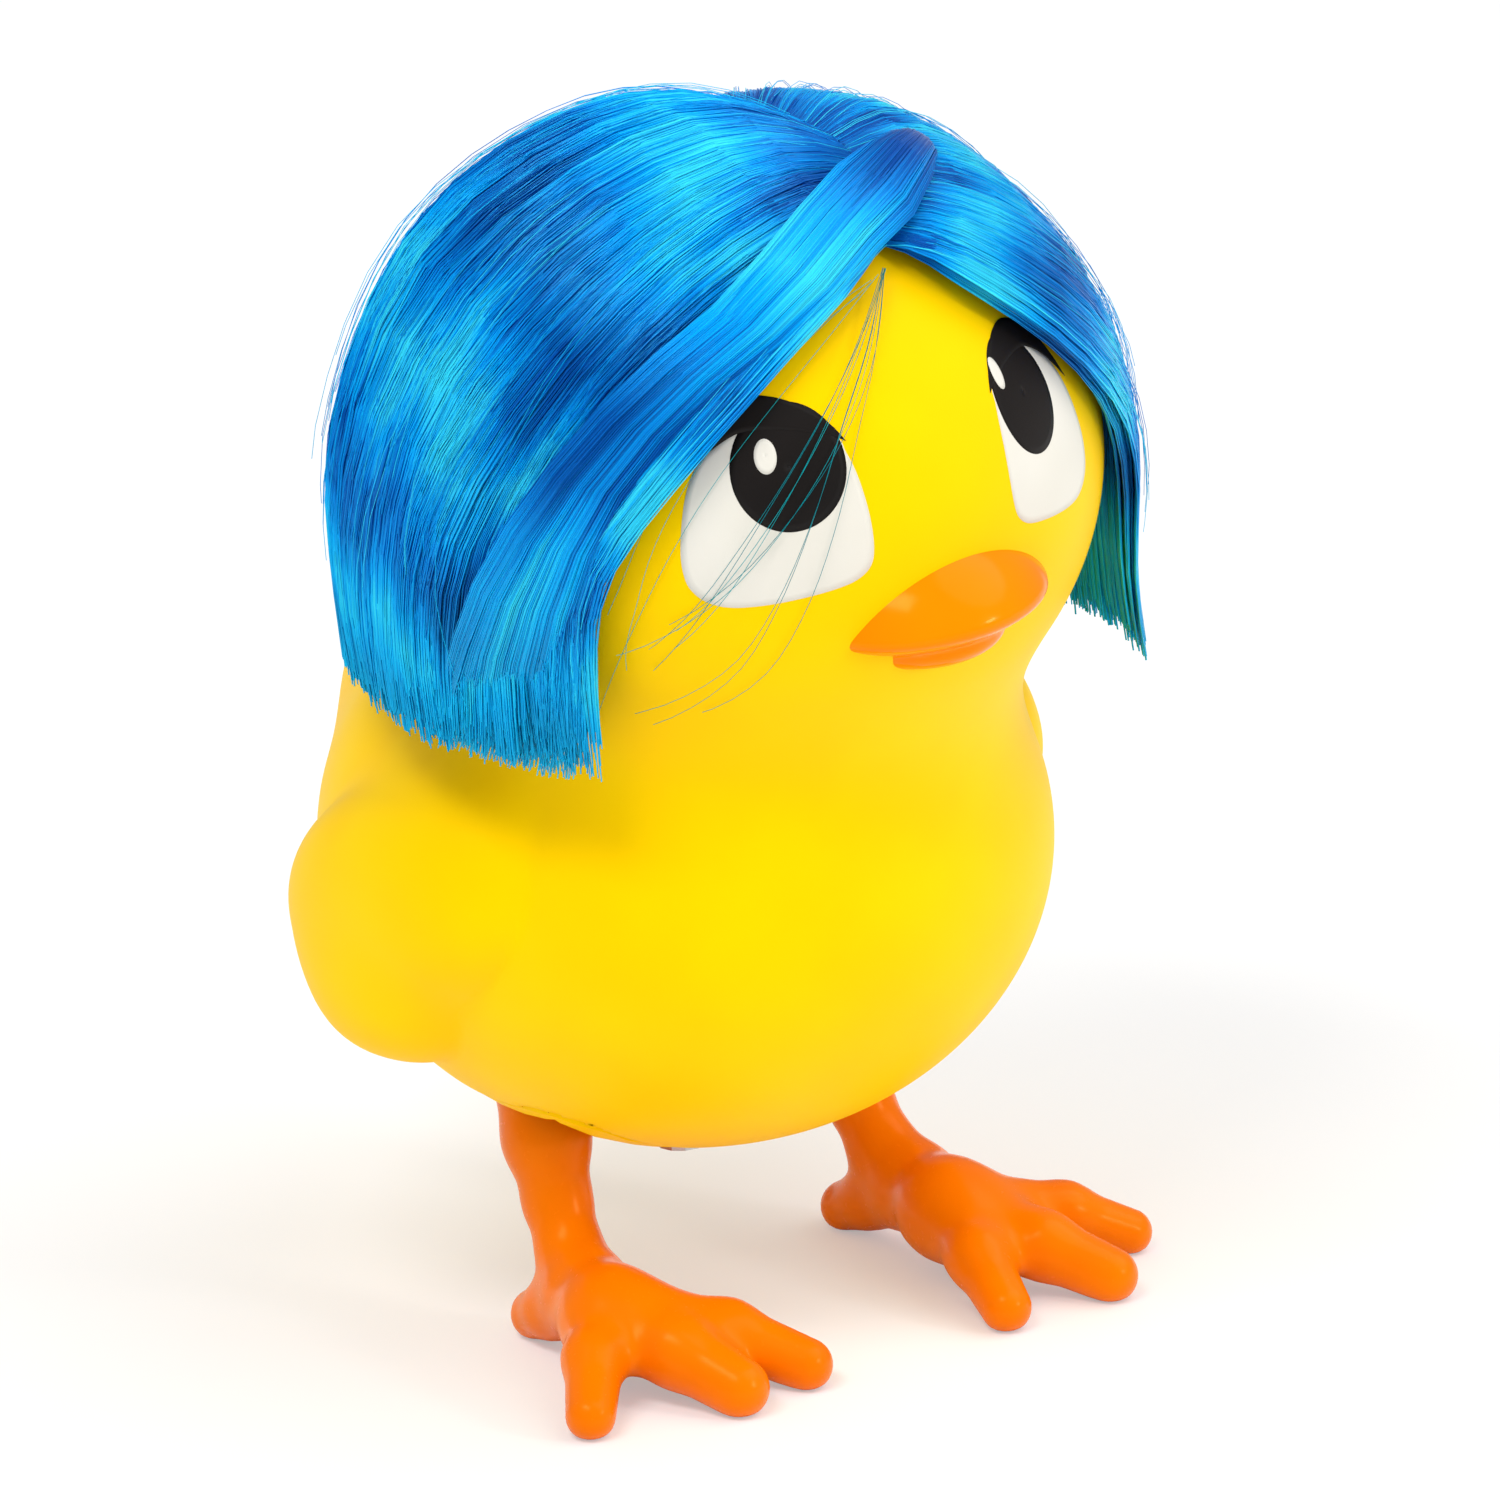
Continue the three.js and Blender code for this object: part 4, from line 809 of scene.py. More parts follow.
# %% A place in a curtain of hair
SEAT_GAP = 0.3
HAIR = {
    "root_thickness": 1.6, "edge_thickness": 0.9, "edge_span": 0.22, "shell_gap": 0.6,
    "hump": 0.9, "hump_span": 0.45, "lean": 0.2, "lean_span": 0.35,
    "front_root": 0.87, "back_root": 2.25, "hang_share": 0.62, "parting_gap": 0.1,
}
HAIR_RIGHT = {
    "side": -1, "thickness": 3.2, "front_azimuth": 1.12, "bow": -0.08, "draw_in": 0.8,
    "cut_front": 38.6, "cut_side": 39.6, "cut_back": 41.5,
}
HAIR_LEFT = {
    "side": 1, "thickness": 1.5, "front_azimuth": 0.86, "bow": -0.16, "draw_in": -0.9,
    "cut_front": 38.2, "cut_side": 36.0, "cut_back": 41.5,
}


def clear_of_shell(points, gap, outwards):
    for _ in range(8):
        short = np.maximum(gap - shell_distance(points), 0)
        points = points + outwards * short[:, None]
    return points


def curtain_point(curtain, along, down, out):
    along, down, out = (np.asarray(a, float).ravel() for a in np.broadcast_arrays(along, down, out))
    root = mix(HAIR["front_root"], HAIR["back_root"], along)
    azimuth = mix(curtain["front_azimuth"], math.pi, along)
    lean = HAIR["lean"] * smooth_step(np.minimum(along / HAIR["lean_span"], 1))
    start = np.stack([np.sin(lean), -np.cos(root) * np.cos(lean), np.sin(root) * np.cos(lean)], -1)
    end = np.stack([curtain["side"] * np.sin(azimuth), -np.cos(azimuth), np.zeros_like(along)], -1)
    share = np.minimum(down / HAIR["hang_share"], 1)
    turn = np.arccos(np.clip((start * end).sum(-1), -1, 1))
    start_share, end_share = np.sin((1 - share) * turn) / np.sin(turn), np.sin(share * turn) / np.sin(turn)
    d = start * start_share[:, None] + end * end_share[:, None]
    d[:, 0] += curtain["side"] * curtain["bow"] * np.sin(math.pi * share) * (1 - along)
    d /= length_of(d)[:, None]
    swell = smooth_step(np.minimum(share / HAIR["hang_share"], 1))
    past_edge = smooth_step(np.minimum(along / HAIR["edge_span"], 1))
    full = mix(HAIR["edge_thickness"], curtain["thickness"], past_edge)
    thickness = mix(np.minimum(HAIR["root_thickness"], full), full, swell)
    head_radius = 1 / length_of(d / HEAD["radii"])
    hump = HAIR["hump"] * np.sin(math.pi * np.minimum(share / HAIR["hump_span"], 1)) ** 2
    hump = hump * np.sin(math.pi * along)
    points = d * (head_radius + SEAT_GAP + out * (thickness + hump))[:, None] + HEAD_CENTRE
    points[:, 0] += curtain["side"] * HAIR["parting_gap"] / 2 * (1 - share)
    fall = np.maximum(down - HAIR["hang_share"], 0) / (1 - HAIR["hang_share"])
    level = np.where(along < 0.5, curtain["cut_front"], curtain["cut_back"])
    level = mix(level, curtain["cut_side"], np.sin(np.clip(along, 0, 1) * math.pi))
    points[:, 2] = mix(points[:, 2], level, fall)
    points -= d * (curtain["draw_in"] * fall * fall)[:, None]
    return clear_of_shell(points, HAIR["shell_gap"] + out * HAIR["root_thickness"], d)


print("a strand's end:", curtain_point(HAIR_RIGHT, 0.3, 1.0, 0.5).round(1))

# %% [markdown]
# ## Combing with Geometry Nodes
# Thousands of filaments would be slow to write one by one. Python lays a few hundred guide lines,
# one for each lock. A Geometry Nodes tree copies each guide many times, spreads the copies over
# the lock's width and depth, trims them unevenly and turns them into thin three-sided filaments.

# %% Build the combing tree
FILAMENT_SIDES = 3
FRIZZ_SIZE = 9
TONE_SPREAD = 0.24
# The random node has sockets for every kind of value, so its inputs are picked by their numbers.
RANDOM_VECTOR_ENDS, RANDOM_FLOAT_ENDS, RANDOM_ID, RANDOM_SEED = (0, 1), (2, 3), 7, 8


def build_combing_tree():
    tree = bpy.data.node_groups.new("Combed filaments", "GeometryNodeTree")
    face = tree.interface
    face.new_socket(name="Guides", in_out="INPUT", socket_type="NodeSocketGeometry")
    for name, kind, value in (
        ("Filaments per Lock", "NodeSocketInt", 16),
        ("Filament Radius", "NodeSocketFloat", 0.07 * MM),
        ("Lock Width", "NodeSocketFloat", 1.0 * MM),
        ("Lock Depth", "NodeSocketFloat", 0.5 * MM),
        ("Frizz", "NodeSocketFloat", 0.2 * MM),
        ("Uneven Ends", "NodeSocketFloat", 0.05),
        ("Seed", "NodeSocketInt", 1),
    ):
        face.new_socket(name=name, in_out="INPUT", socket_type=kind).default_value = value
    face.new_socket(name="Material", in_out="INPUT", socket_type="NodeSocketMaterial")
    face.new_socket(name="Hair", in_out="OUTPUT", socket_type="NodeSocketGeometry")
    given = add(tree, "NodeGroupInput").outputs
    curves = add(tree, "GeometryNodeMeshToCurve", {"Mesh": given["Guides"]})
    copies = {"Geometry": curves.outputs["Curve"], "Amount": given["Filaments per Lock"]}
    copied = add(tree, "GeometryNodeDuplicateElements", copies, domain="SPLINE")
    number = add(tree, "GeometryNodeInputIndex").outputs[0]

    def named(name, kind):
        node = add(tree, "GeometryNodeInputNamedAttribute", {"Name": name}, data_type=kind)
        return enabled(node.outputs)

    def random_per_filament(kind, low, high, seed_offset):
        seeds = {0: given["Seed"], 1: float(seed_offset)}
        seed = add(tree, "ShaderNodeMath", seeds, operation="ADD").outputs[0]
        ends = RANDOM_VECTOR_ENDS if kind == "FLOAT_VECTOR" else RANDOM_FLOAT_ENDS
        inputs = {ends[0]: low, ends[1]: high, RANDOM_ID: number, RANDOM_SEED: seed}
        value = enabled(add(tree, "FunctionNodeRandomValue", inputs, data_type=kind).outputs)
        held = add(tree, "GeometryNodeFieldOnDomain", domain="CURVE", data_type=kind)
        tree.links.new(value, enabled(held.inputs))
        return enabled(held.outputs)

    def scaled(vector, *factors):
        for factor in factors:
            scaling = {0: vector, "Scale": factor}
            vector = add(tree, "ShaderNodeVectorMath", scaling, operation="SCALE").outputs[0]
        return vector

    def summed(a, b):
        return add(tree, "ShaderNodeVectorMath", {0: a, 1: b}, operation="ADD").outputs[0]

    dice = random_per_filament("FLOAT_VECTOR", (-1, -1, -1), (1, 1, 1), 11)
    split = add(tree, "ShaderNodeSeparateXYZ", {0: dice}).outputs
    spread = named("spread", "FLOAT")
    sideways = scaled(named("across", "FLOAT_VECTOR"), split[0], spread, given["Lock Width"])
    outwards = scaled(named("outward", "FLOAT_VECTOR"), split[1], spread, given["Lock Depth"])
    reach = named("reach", "FLOAT")
    place = add(tree, "GeometryNodeInputPosition").outputs[0]
    seen = summed(place, scaled(dice, 0.8 * MM))
    noise = add(tree, "ShaderNodeTexNoise", {"Vector": seen, "Scale": per_mm(1 / FRIZZ_SIZE), "Detail": 1.0})
    from_grey = {0: noise.outputs["Color"], 1: (0.5, 0.5, 0.5)}
    centred = add(tree, "ShaderNodeVectorMath", from_grey, operation="SUBTRACT").outputs[0]
    frizz = scaled(centred, reach, given["Frizz"])
    offset = summed(summed(sideways, outwards), frizz)
    moved = add(tree, "GeometryNodeSetPosition", {"Geometry": copied.outputs["Geometry"], "Offset": offset})
    own_tone = random_per_filament("FLOAT", 0.0, 1.0, 23)
    # The lock's tone holds the painted sheen bands, and each filament adds a random shade of its own.
    lock_tone = named("lock_tone", "FLOAT")
    around = {0: own_tone, 1: TONE_SPREAD, 2: -TONE_SPREAD / 2}
    tone = add(tree, "ShaderNodeMath", around, operation="MULTIPLY_ADD").outputs[0]
    tone = add(tree, "ShaderNodeMath", {0: lock_tone, 1: tone}, operation="ADD").outputs[0]
    stored = {"Geometry": moved.outputs[0], "Name": "tone"}
    toned = add(tree, "GeometryNodeStoreNamedAttribute", stored, data_type="FLOAT", domain="POINT")
    tree.links.new(tone, enabled([s for s in toned.inputs if s.name == "Value"]))
    cut = random_per_filament("FLOAT", 0.0, 1.0, 37)
    cut = add(tree, "ShaderNodeMath", {0: cut, 1: given["Uneven Ends"]}, operation="MULTIPLY").outputs[0]
    keep = add(tree, "ShaderNodeMath", {0: 1.0, 1: cut}, operation="SUBTRACT").outputs[0]
    trimmed = add(tree, "GeometryNodeTrimCurve", {"Curve": toned.outputs[0], 2: 0.0, 3: keep}, mode="FACTOR")
    circle = {"Resolution": FILAMENT_SIDES, "Radius": given["Filament Radius"]}
    profile = add(tree, "GeometryNodeCurvePrimitiveCircle", circle, mode="RADIUS")
    swept = {"Curve": trimmed.outputs[0], "Profile Curve": profile.outputs["Curve"], "Fill Caps": True}
    tubes = add(tree, "GeometryNodeCurveToMesh", swept)
    smooth = add(tree, "GeometryNodeSetShadeSmooth", {"Geometry": tubes.outputs["Mesh"]})
    whole = add(tree, "GeometryNodeRealizeInstances", {"Geometry": smooth.outputs[0]})
    coated = {"Geometry": whole.outputs[0], "Material": given["Material"]}
    painted = add(tree, "GeometryNodeSetMaterial", coated)
    add(tree, "NodeGroupOutput", {"Hair": painted.outputs[0]})
    return tree


COMBING = build_combing_tree()
COMBING_INPUTS = {s.name: s.identifier for s in COMBING.interface.items_tree if s.in_out == "INPUT"}
print("combing tree:", len(COMBING.nodes), "nodes")

# %% [markdown]
# Each point of a guide carries what the tree needs there: the way across the lock, the way out from
# the head, the lock's width and its tone, which holds any painted sheen. The modifier's result becomes
# a plain mesh, and the values that only the tree needs are taken off it.

# %% Comb guides into a piece of hair
LENGTHS = ("Filament Radius", "Lock Width", "Lock Depth", "Frizz")


def store(mesh, name, values, kind="FLOAT"):
    """Keeps one value at each point of a mesh, where a material or a node tree can read it."""
    field = "vector" if kind == "FLOAT_VECTOR" else "value"
    flat = np.ascontiguousarray(values, np.float32).ravel()
    mesh.attributes.new(name, kind, "POINT").data.foreach_set(field, flat)


def away_from_head(points, downwards=False):
    """The way out from the head at each point. It never points down unless downwards is set."""
    away = points - HEAD_CENTRE
    if not downwards:
        away[..., 2] = np.maximum(away[..., 2], 0)
    return away / length_of(away)[..., None]


def comb(name, paths, spread, tones, material, settings, replaced=()):
    """Combs guides into hair. spread is each point's share of the lock's width. Lengths are in mm."""
    locks, steps = paths.shape[:2]
    points = paths.reshape(-1, 3)
    tangents = np.gradient(paths, axis=1).reshape(-1, 3)
    tangents /= np.maximum(length_of(tangents), 1e-6)[:, None]
    outward = away_from_head(points)
    outward -= tangents * (outward * tangents).sum(-1)[:, None]
    outward /= np.maximum(length_of(outward), 1e-6)[:, None]
    across = np.cross(tangents, outward)
    edges = [(i * steps + j, i * steps + j + 1) for i in range(locks) for j in range(steps - 1)]
    mesh = bpy.data.meshes.new(name + "_guides")
    mesh.from_pydata(((points + SHIFT) * MM).tolist(), edges, [])
    store(mesh, "across", across, "FLOAT_VECTOR")
    store(mesh, "outward", outward, "FLOAT_VECTOR")
    store(mesh, "spread", np.broadcast_to(spread, (locks, steps)))
    store(mesh, "reach", np.tile(np.linspace(0, 1, steps), locks))
    store(mesh, "lock_tone", np.broadcast_to(tones, (locks, steps)))
    piece = bpy.data.objects.new(name, mesh)
    bpy.context.scene.collection.objects.link(piece)
    combing = piece.modifiers.new("Combing", "NODES")
    combing.node_group = COMBING
    for key, value in {"Material": material, **settings}.items():
        combing[COMBING_INPUTS[key]] = value * MM if key in LENGTHS else value
    hair = bpy.data.meshes.new_from_object(piece.evaluated_get(bpy.context.evaluated_depsgraph_get()))
    piece.modifiers.clear()
    piece.data = hair
    hair.name = name
    for spare in ("across", "outward", "spread", "lock_tone"):
        if spare in hair.attributes:
            hair.attributes.remove(hair.attributes[spare])
    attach(piece, "chick")
    if replaced:
        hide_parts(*replaced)
    hair.calc_loop_triangles()
    print(f"{name}: {locks} locks, {len(hair.loop_triangles)} triangles")
    return piece


# %% [markdown]
# ## The two curtains
# The hair is rooted in small plugs along the parting, where the fibres dive into one stitched line.
# Each curtain is combed in an under, a middle and a top layer, and the top one is in two halves. Slow
# waves run across the strands, as heat-set doll hair has. Broad bands of sheen are painted into the
# tone along the strands: painted highlights, bright and dark, not made by the light. Locks end at uneven
# heights.

# %% Lay the guides of a layer
STRAND_STEPS = 16
LOCK_STEPS = np.linspace(0, 1, STRAND_STEPS) ** 1.15
PLUGS = 52
PAINTED_BAND_PITCH = 0.31
FIRST_PAINTED_BAND = 0.17


def painted_sheen(along, down):
    """Painted sheen: bands across the strands, from 0 to 1, painted bright where a highlight would lie. The
    bands are weaker at the parting, and the tone rises a little towards the ends.
    """
    wander = 0.05 * np.sin(9 * along) + 0.028 * np.sin(31 * along + 2) + 0.018 * np.sin(77 * along)
    wave = 0.5 + 0.5 * np.cos(2 * math.pi * (down - FIRST_PAINTED_BAND - wander) / PAINTED_BAND_PITCH)
    strength = np.interp(down, [0, 0.06, 0.15, 0.5, 0.8, 1], [0.35, 0.6, 1.0, 0.95, 0.7, 0.6])
    return np.clip(wave**1.3 * strength + 0.12 * down, 0, 1)


def smoothed(paths, rounds=3):
    """Rounds each guide off and keeps both its ends."""
    for _ in range(rounds):
        paths[:, 1:-1] = (paths[:, :-2] + 2 * paths[:, 1:-1] + paths[:, 2:]) / 4
    return paths


def layer_guides(curtain, locks, levels, dice, slant=0.05, short=0.05, front=0.0, back=1.0):
    along = np.linspace(front, back, locks) + dice.uniform(-0.6, 0.6, locks) * (back - front) / locks
    along = np.clip(along, 0.0, 1.0)
    t = LOCK_STEPS[None] * (1 - dice.uniform(0, short, locks))[:, None]
    drift = dice.uniform(-slant, slant, locks)[:, None] * (t - 0.3) * smooth_step(t * 2)
    sway = 0.008 * np.sin(7 * t + along[:, None] * 40) * smooth_step(t * 3)
    # The locks leave their plug close together, and a little lower they lie side by side.
    plugged = (np.floor(along * PLUGS) + 0.5)[:, None] / PLUGS
    spot = np.clip(mix(plugged, along[:, None], smooth_step(t / 0.12)) + sway + drift, 0, 1)
    # Fine ripples break the surface up, and each lock arches over its plug.
    ripple = 0.035 * np.sin(spot * 95 + 5 * t) + 0.035 * np.sin(19 * t + 14 * spot)
    plug_arch = 0.3 * np.exp(-(((t - 0.035) / 0.02) ** 2))
    out = (dice.uniform(*levels, locks)[:, None] + ripple) * smooth_step(t / 0.09) + plug_arch
    points = curtain_point(curtain, spot, t, np.clip(out, 0.02, 1.1)).reshape(locks, STRAND_STEPS, 3)
    # The tone is a random shade per lock plus the painted sheen: bright and dark bands that stand for
    # highlights.
    lock_tones = 0.08 * np.sin(along * 83 + 9 * levels[0]) + dice.uniform(-0.16, 0.16, locks)
    tones = 0.08 + 0.84 * painted_sheen(spot, np.broadcast_to(t, spot.shape)) + lock_tones[:, None]
    return smoothed(points), np.clip(tones, 0, 1)


opening, closing = smooth_step(LOCK_STEPS * 5), smooth_step((LOCK_STEPS - 0.7) / 0.3)
LOCK_SPREAD = mix(0.3, 1.0, opening) * mix(1.0, 0.7, closing)
LAYERS = {
    "under": {"levels": (0.15, 0.55), "locks": 100, "radius": 0.06, "front": 0.03, "back": 1.0},
    "middle": {"levels": (0.45, 0.85), "locks": 110, "radius": 0.055, "front": 0.0, "back": 1.0},
    "top_front": {"levels": (0.86, 0.98), "locks": 135, "radius": 0.046, "front": 0.0, "back": 0.5},
    "top_back": {"levels": (0.86, 0.98), "locks": 115, "radius": 0.05, "front": 0.48, "back": 1.0},
}
for curtain_name, curtain in (("right", HAIR_RIGHT), ("left", HAIR_LEFT)):
    for number, (layer, form) in enumerate(LAYERS.items()):
        dice = np.random.default_rng(40 + number + (10 if curtain["side"] > 0 else 0))
        ends = {"front": form["front"], "back": form["back"]}
        guides, tones = layer_guides(curtain, form["locks"], form["levels"], dice, **ends)
        settings = {
            "Filaments per Lock": 16, "Filament Radius": form["radius"],
            "Lock Width": 0.85, "Lock Depth": 0.07, "Frizz": 0.5, "Uneven Ends": 0.08, "Seed": 3 + number,
        }
        name = f"hair_{curtain_name}_{layer}"
        comb(name, guides, LOCK_SPREAD, tones, NYLON, settings, [f"hair_{curtain_name}"])

# %% [markdown]
# Under the strands lies a closed cap of the same nylon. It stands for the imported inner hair, which
# nobody sees one by one, and keeps the yellow from showing through the gaps.

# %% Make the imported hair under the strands
CAP = {"rows": 90, "columns": 50, "top": 0.02, "low": 0.04, "high": 0.5, "root_span": 0.14, "end_span": 0.1}
# The outer skin is this share larger, so that the two skins never touch.
CAP_APART = 0.002
STREAKS = (260, 2.5, 1)


def cap_grid(curtain, front, far):
    rows, columns = CAP["rows"], CAP["columns"]
    places, depths = np.linspace(front, 1, rows), np.linspace(CAP["top"], far, columns)
    along, down = np.meshgrid(places, depths, indexing="ij")
    grown = smooth_step(down / CAP["root_span"]) * smooth_step((1 - down / far) / CAP["end_span"] + 0.1)
    outs = [mix(CAP["low"], out, grown) for out in (CAP["low"], CAP["high"])]
    inner, outer = (curtain_point(curtain, along, down, out) for out in outs)
    total = rows * columns
    faces = []
    for i in range(rows - 1):
        for j in range(columns - 1):
            quad = [i * columns + j, i * columns + j + 1, (i + 1) * columns + j + 1, (i + 1) * columns + j]
            faces += [[q + total for q in quad], quad[::-1]]
    rim = [i * columns for i in range(rows)] + [(rows - 1) * columns + j for j in range(1, columns)]
    rim += [i * columns + columns - 1 for i in range(rows - 2, -1, -1)] + list(range(columns - 2, 0, -1))
    for a, b in zip(rim, rim[1:] + rim[:1]):
        faces.append([a, b, b + total, a + total])
    outer += (outer - HEAD_CENTRE) * CAP_APART
    return np.concatenate([inner, outer]), faces, along.ravel(), down.ravel()


def packed_tone(tree):
    spot = add(tree, "ShaderNodeAttribute", attribute_name="strand_place")
    stretch = add(tree, "ShaderNodeMapping", {"Vector": spot.outputs["Vector"], "Scale": STREAKS})
    streaks = add(tree, "ShaderNodeTexNoise", {"Vector": stretch.outputs[0], "Scale": 1.0, "Detail": 3.0})
    ends = {"Value": streaks.outputs["Fac"], "From Min": 0.3, "From Max": 0.7, "To Min": 0.15, "To Max": 0.75}
    return add(tree, "ShaderNodeMapRange", ends).outputs[0]


PACKED_NYLON = nylon("Packed blue nylon", packed_tone)
for curtain_name, curtain, front, far in (("right", HAIR_RIGHT, 0.08, 0.9), ("left", HAIR_LEFT, 0.24, 0.82)):
    cap_points, cap_faces, along, down = cap_grid(curtain, front, far)
    name = f"hair_{curtain_name}_packed"
    cap = make_piece(name, cap_points, cap_faces, PACKED_NYLON, "chick")
    along, down = np.tile(along, 2), np.tile(down, 2)
    store(cap.data, "strand_place", np.stack([along, down, np.zeros_like(along)], -1), "FLOAT_VECTOR")
    store(cap.data, "reach", down)
    point_outwards(cap)

# %% [markdown]
# ## The forelock
# A thick lock is rooted at the front end of the parting, on the left side. It bends forward, crosses
# the end of the parting and sweeps down over the right curtain, where it makes the front edge.
# Its two edges are drawn along the photograph, and the locks between them are spaced evenly.


# %% Comb the forelock
def path_through(pixels, lifts, steps):
    spots = np.array([photo_point(pixel, lift) for pixel, lift in zip(pixels, lifts)])
    curve = smooth_curve(spots, 10)
    walked = np.concatenate([[0], np.cumsum(length_of(np.diff(curve, axis=0)))])
    at = np.linspace(0, walked[-1], steps)
    return np.stack([np.interp(at, walked, curve[:, axis]) for axis in range(3)], -1)


FORELOCK_INNER = [
    (915, 122), (888, 142), (858, 158), (832, 182), (796, 226),
    (732, 302), (636, 386), (540, 492), (474, 604), (436, 742),
]
INNER_LIFTS = [0.3, 1.8, 3.2, 3.6, 3.5, 3.6, 3.8, 3.9, 3.9, 3.8]
FORELOCK_OUTER = [
    (942, 134), (934, 156), (922, 180), (904, 212), (872, 244),
    (808, 316), (712, 396), (626, 496), (584, 606), (566, 778),
]
OUTER_LIFTS = [0.3, 1.6, 2.2, 2.2, 1.8, 1.4, 1.3, 1.3, 1.3, 1.6]
FORELOCK_LOCKS = 170
dice = np.random.default_rng(71)
stations = np.linspace(0, len(INNER_LIFTS) - 1, STRAND_STEPS)
inner_path = path_through(FORELOCK_INNER, INNER_LIFTS, STRAND_STEPS)
outer_path = path_through(FORELOCK_OUTER, OUTER_LIFTS, STRAND_STEPS)
share = dice.uniform(0, 1, FORELOCK_LOCKS)[:, None]
share = share + dice.uniform(-0.05, 0.05, FORELOCK_LOCKS)[:, None] * LOCK_STEPS
forelock = mix(inner_path[None], outer_path[None], share[:, :, None])
inner_lift = np.interp(stations, range(len(INNER_LIFTS)), INNER_LIFTS)
outer_lift = np.interp(stations, range(len(OUTER_LIFTS)), OUTER_LIFTS)
# The forelock is roundest a little below its root, and flat at its cut end.
roundness_along = np.interp(LOCK_STEPS, [0, 0.15, 0.5, 1], [0.2, 1, 0.5, 0.1])
roundness = 1.1 * np.sin(math.pi * np.clip(share, 0, 1)) * roundness_along
lowest = mix(inner_lift[None], outer_lift[None], share) + roundness
lowest = lowest * dice.uniform(0.93, 1.0, FORELOCK_LOCKS)[:, None]
points = forelock.reshape(-1, 3)
forelock = clear_of_shell(points, lowest.ravel(), away_from_head(points)).reshape(forelock.shape)
lock_tones = 0.1 * np.sin(share * 27) + dice.uniform(-0.12, 0.12, FORELOCK_LOCKS)[:, None]
# The forelock's tone carries painted sheen: bright and dark bands along its length stand for highlights.
PAINTED_BAND_PLACES = [0, 0.1, 0.2, 0.33, 0.47, 0.6, 0.74, 0.88, 1]
painted_bands = np.interp(LOCK_STEPS, PAINTED_BAND_PLACES, [0.25, 0.08, 0.2, 0.95, 0.35, 0.1, 0.75, 0.45, 0.6])
tones = np.clip(painted_bands + lock_tones + 0.14 * np.sin(share * 9 + LOCK_STEPS * 6), 0, 1)
comb("hair_forelock", forelock, mix(0.5, 1.0, smooth_step(LOCK_STEPS * 3)), tones, NYLON, {
    "Filaments per Lock": 12, "Filament Radius": 0.045, "Lock Width": 0.6, "Lock Depth": 0.08,
    "Frizz": 0.5, "Uneven Ends": 0.1, "Seed": 31,
})

# %% [markdown]
# ## Stray filaments
# A few single filaments leave the front of the parting and curve over the right eye, beside the
# forelock. Each lies somewhere between two paths that are drawn along the photograph.

# %% Comb the strays
STRAYS = [
    [(884, 268), (868, 345), (842, 430), (822, 520), (798, 610), (766, 680), (715, 722), (662, 742)],
    [(885, 268), (874, 330), (846, 415), (794, 515), (722, 610), (672, 652), (628, 672), (592, 682)],
    [(884, 268), (856, 372), (812, 470), (752, 560), (704, 606), (662, 630), (628, 640), (600, 642)],
    [(880, 272), (838, 345), (785, 425), (728, 505), (688, 565), (652, 625), (618, 690), (590, 738)],
    [(872, 280), (814, 332), (744, 406), (690, 478), (654, 540), (628, 600), (606, 650), (596, 706)],
    [(860, 296), (770, 368), (700, 450), (655, 515), (632, 560), (616, 610), (604, 670), (596, 740)],
]
STRAY_LIFTS = [1.2, 0.5, 0.35, 0.35, 0.35, 0.4, 0.5, 0.8]
STRAY_STEPS = 26
STRAY_COUNT = 13
STRAY_GAP = 0.2
dice = np.random.default_rng(5)
anchors = np.array([path_through(stray, STRAY_LIFTS, STRAY_STEPS) for stray in STRAYS])
strays = []
for between in dice.uniform(0, len(STRAYS) - 1, STRAY_COUNT):
    first = min(int(between), len(STRAYS) - 2)
    stray = mix(anchors[first], anchors[first + 1], between - first)
    down = np.linspace(0, 1, STRAY_STEPS)[:, None]
    bend = dice.uniform(-1, 1, 3) * 1.3 * np.sin(math.pi * down) + dice.uniform(-1, 1, 3) * 1.5 * down**2
    strays.append(stray + bend)
points = np.concatenate(strays)
points = clear_of_shell(points, STRAY_GAP, away_from_head(points, downwards=True))
strays = points.reshape(STRAY_COUNT, STRAY_STEPS, 3)
stray_tones = dice.uniform(0.1, 0.7, STRAY_COUNT)[:, None]
comb("hair_strays", strays, np.linspace(0.3, 1, STRAY_STEPS), stray_tones, SINGLE_NYLON, {
    "Filaments per Lock": 1, "Filament Radius": 0.02, "Lock Width": 0.3, "Lock Depth": 0.02,
    "Frizz": 0.12, "Uneven Ends": 0.2, "Seed": 8,
})

# %% [markdown]
# Other filaments stand off both curtains, each a little further at its end than at its root. They
# break the outline of the hair up, so that it looks combed and not moulded.

# %% Comb the flyaways
FLYAWAYS = 60
flyaways = []
for curtain in (HAIR_RIGHT, HAIR_LEFT):
    guides, _ = layer_guides(curtain, FLYAWAYS, (0.95, 1.0), dice, slant=0.15, short=0.4)
    stand = dice.uniform(0.1, 0.5, len(guides))[:, None, None] * smooth_step(LOCK_STEPS * 1.5)[None, :, None]
    flyaways.append(guides + away_from_head(guides) * stand)
flyaways = np.concatenate(flyaways)
flyaway_tones = dice.uniform(0.3, 1.0, len(flyaways))[:, None]
comb("hair_flyaways", flyaways, np.ones(STRAND_STEPS), flyaway_tones, NYLON, {
    "Filaments per Lock": 2, "Filament Radius": 0.022, "Lock Width": 0.6, "Lock Depth": 0.2,
    "Frizz": 0.8, "Uneven Ends": 0.3, "Seed": 9,
})

# %% [markdown]
# ## The floor, the lights and the camera
# The photograph is a studio shot on white. The floor is white and keeps the soft shadow under the
# feet. It glows a little where the camera sees it, as an overexposed sheet of paper does.

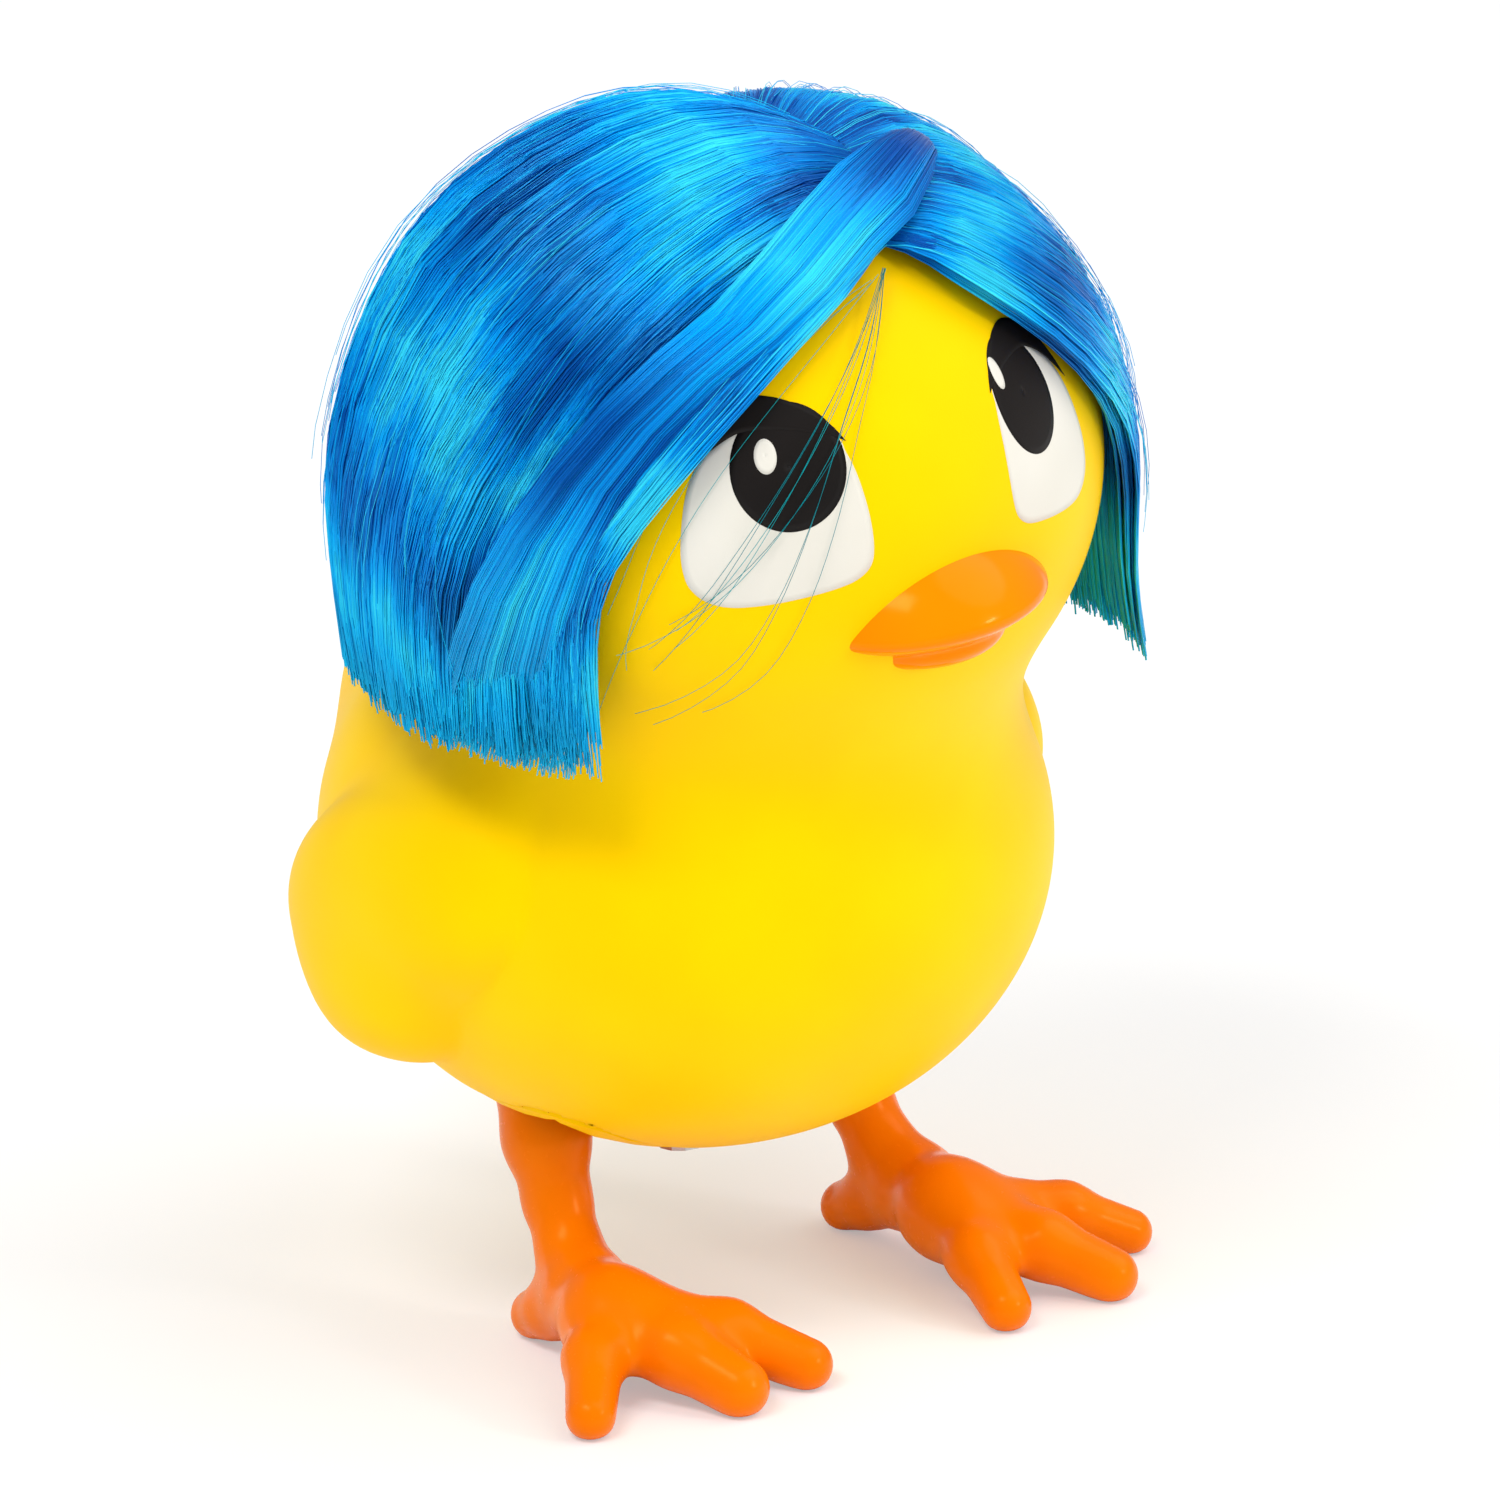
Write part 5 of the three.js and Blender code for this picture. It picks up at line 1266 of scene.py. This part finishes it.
# %% Make the floor
FLOOR_HALF = 3.0
FLOOR_GLOW = 0.35
FLOOR_GREY = 0.9
FLOOR_DROP = 0.01
floor_mesh = bpy.data.meshes.new("floor")
floor_corners = [(x * FLOOR_HALF, y * FLOOR_HALF, 0) for x, y in ((-1, -1), (1, -1), (1, 1), (-1, 1))]
floor_mesh.from_pydata(floor_corners, [], [(0, 1, 2, 3)])
floor = bpy.data.objects.new("floor", floor_mesh)
floor.location.z = -FLOOR_DROP * MM
bpy.context.scene.collection.objects.link(floor)
floor_material, tree = new_material("White studio floor")
path = add(tree, "ShaderNodeLightPath")
diffuse = add(tree, "ShaderNodeBsdfDiffuse", {"Color": (FLOOR_GREY, FLOOR_GREY, FLOOR_GREY, 1)})
glow = add(tree, "ShaderNodeEmission", {"Color": (1, 1, 1, 1), "Strength": 1.0})
seen = add(tree, "ShaderNodeMath", {0: path.outputs["Is Camera Ray"], 1: FLOOR_GLOW}, operation="MULTIPLY")
blend = add(tree, "ShaderNodeMixShader", {0: seen.outputs[0], 1: diffuse.outputs[0], 2: glow.outputs[0]})
finish_material(tree, blend)
floor_mesh.materials.append(floor_material)
print("floor made")

# %% [markdown]
# The world is white where the camera sees it, and gives a soft, even light. A wide sun, high on the
# chick's front left, shades the forms. Two softboxes give the sheen on hair, beak and feet.

# %% Light the scene
scene = bpy.context.scene
world = bpy.data.worlds.new("White studio")
world.use_nodes = True
scene.world = world
tree = world.node_tree
tree.nodes.clear()
path = add(tree, "ShaderNodeLightPath").outputs
SKY_FILL, SKY_SEEN, SKY_GLOSS = 0.68, 1.0, 0.22
looked_at = {0: path["Is Camera Ray"], 1: SKY_SEEN - SKY_FILL, 2: SKY_FILL}
strength = add(tree, "ShaderNodeMath", looked_at, operation="MULTIPLY_ADD")
glossy = {0: path["Is Glossy Ray"], 1: SKY_GLOSS - SKY_FILL, 2: strength.outputs[0]}
strength = add(tree, "ShaderNodeMath", glossy, operation="MULTIPLY_ADD")
sky = add(tree, "ShaderNodeBackground", {"Color": (1, 1, 1, 1), "Strength": strength.outputs[0]})
add(tree, "ShaderNodeOutputWorld", {"Surface": sky.outputs[0]})


def aim(thing, place, target):
    thing.location = place
    thing.rotation_mode = "QUATERNION"
    thing.rotation_quaternion = (target - place).to_track_quat("-Z", "Y")


HEART = Vector((0, 0, 0.038))
sun_data = bpy.data.lights.new("sky panel", "SUN")
sun_data.energy = 1.0
sun_data.angle = math.radians(50)
sun = bpy.data.objects.new("sky panel", sun_data)
scene.collection.objects.link(sun)
aim(sun, HEART + Vector((0.4, -0.35, 0.8)), HEART)


def softbox(name, place, size, power):
    data = bpy.data.lights.new(name, "AREA")
    data.shape = "RECTANGLE"
    data.size, data.size_y = size
    data.energy = power
    lamp = bpy.data.objects.new(name, data)
    scene.collection.objects.link(lamp)
    aim(lamp, HEART + Vector(place), HEART)
    return lamp


softbox("key softbox", (0.28, -0.62, 0.24), (0.1, 0.1), 0.9)
softbox("top softbox", (-0.32, -0.1, 0.5), (0.3, 0.14), 1.5)

# %% [markdown]
# The camera has the place, the turn and the scale that were found for the photograph and are given
# above, so that the render can be laid over the photograph. The shift of its film puts the chick where the
# photograph has it.

# %% Set the camera
camera_data = bpy.data.cameras.new("photograph's camera")
camera_data.sensor_width = 36
camera_data.lens = PIXELS_PER_RADIAN / PHOTO_SIDE * camera_data.sensor_width
camera_data.shift_x = (PHOTO_SIDE / 2 - PHOTO_MIDDLE[0]) / PHOTO_SIDE
camera_data.shift_y = (PHOTO_MIDDLE[1] - PHOTO_SIDE / 2) / PHOTO_SIDE
camera_data.clip_start, camera_data.clip_end = 0.05, 20
camera = bpy.data.objects.new("photograph's camera", camera_data)
scene.collection.objects.link(camera)
place = (CAMERA_AT + SHIFT) * MM
camera.matrix_world = Matrix([[RIGHT[i], UP[i], BACK[i], place[i]] for i in range(3)] + [[0, 0, 0, 1]])
scene.camera = camera
scene.view_settings.view_transform = "Standard"
print("lens:", round(camera_data.lens, 1), "mm")
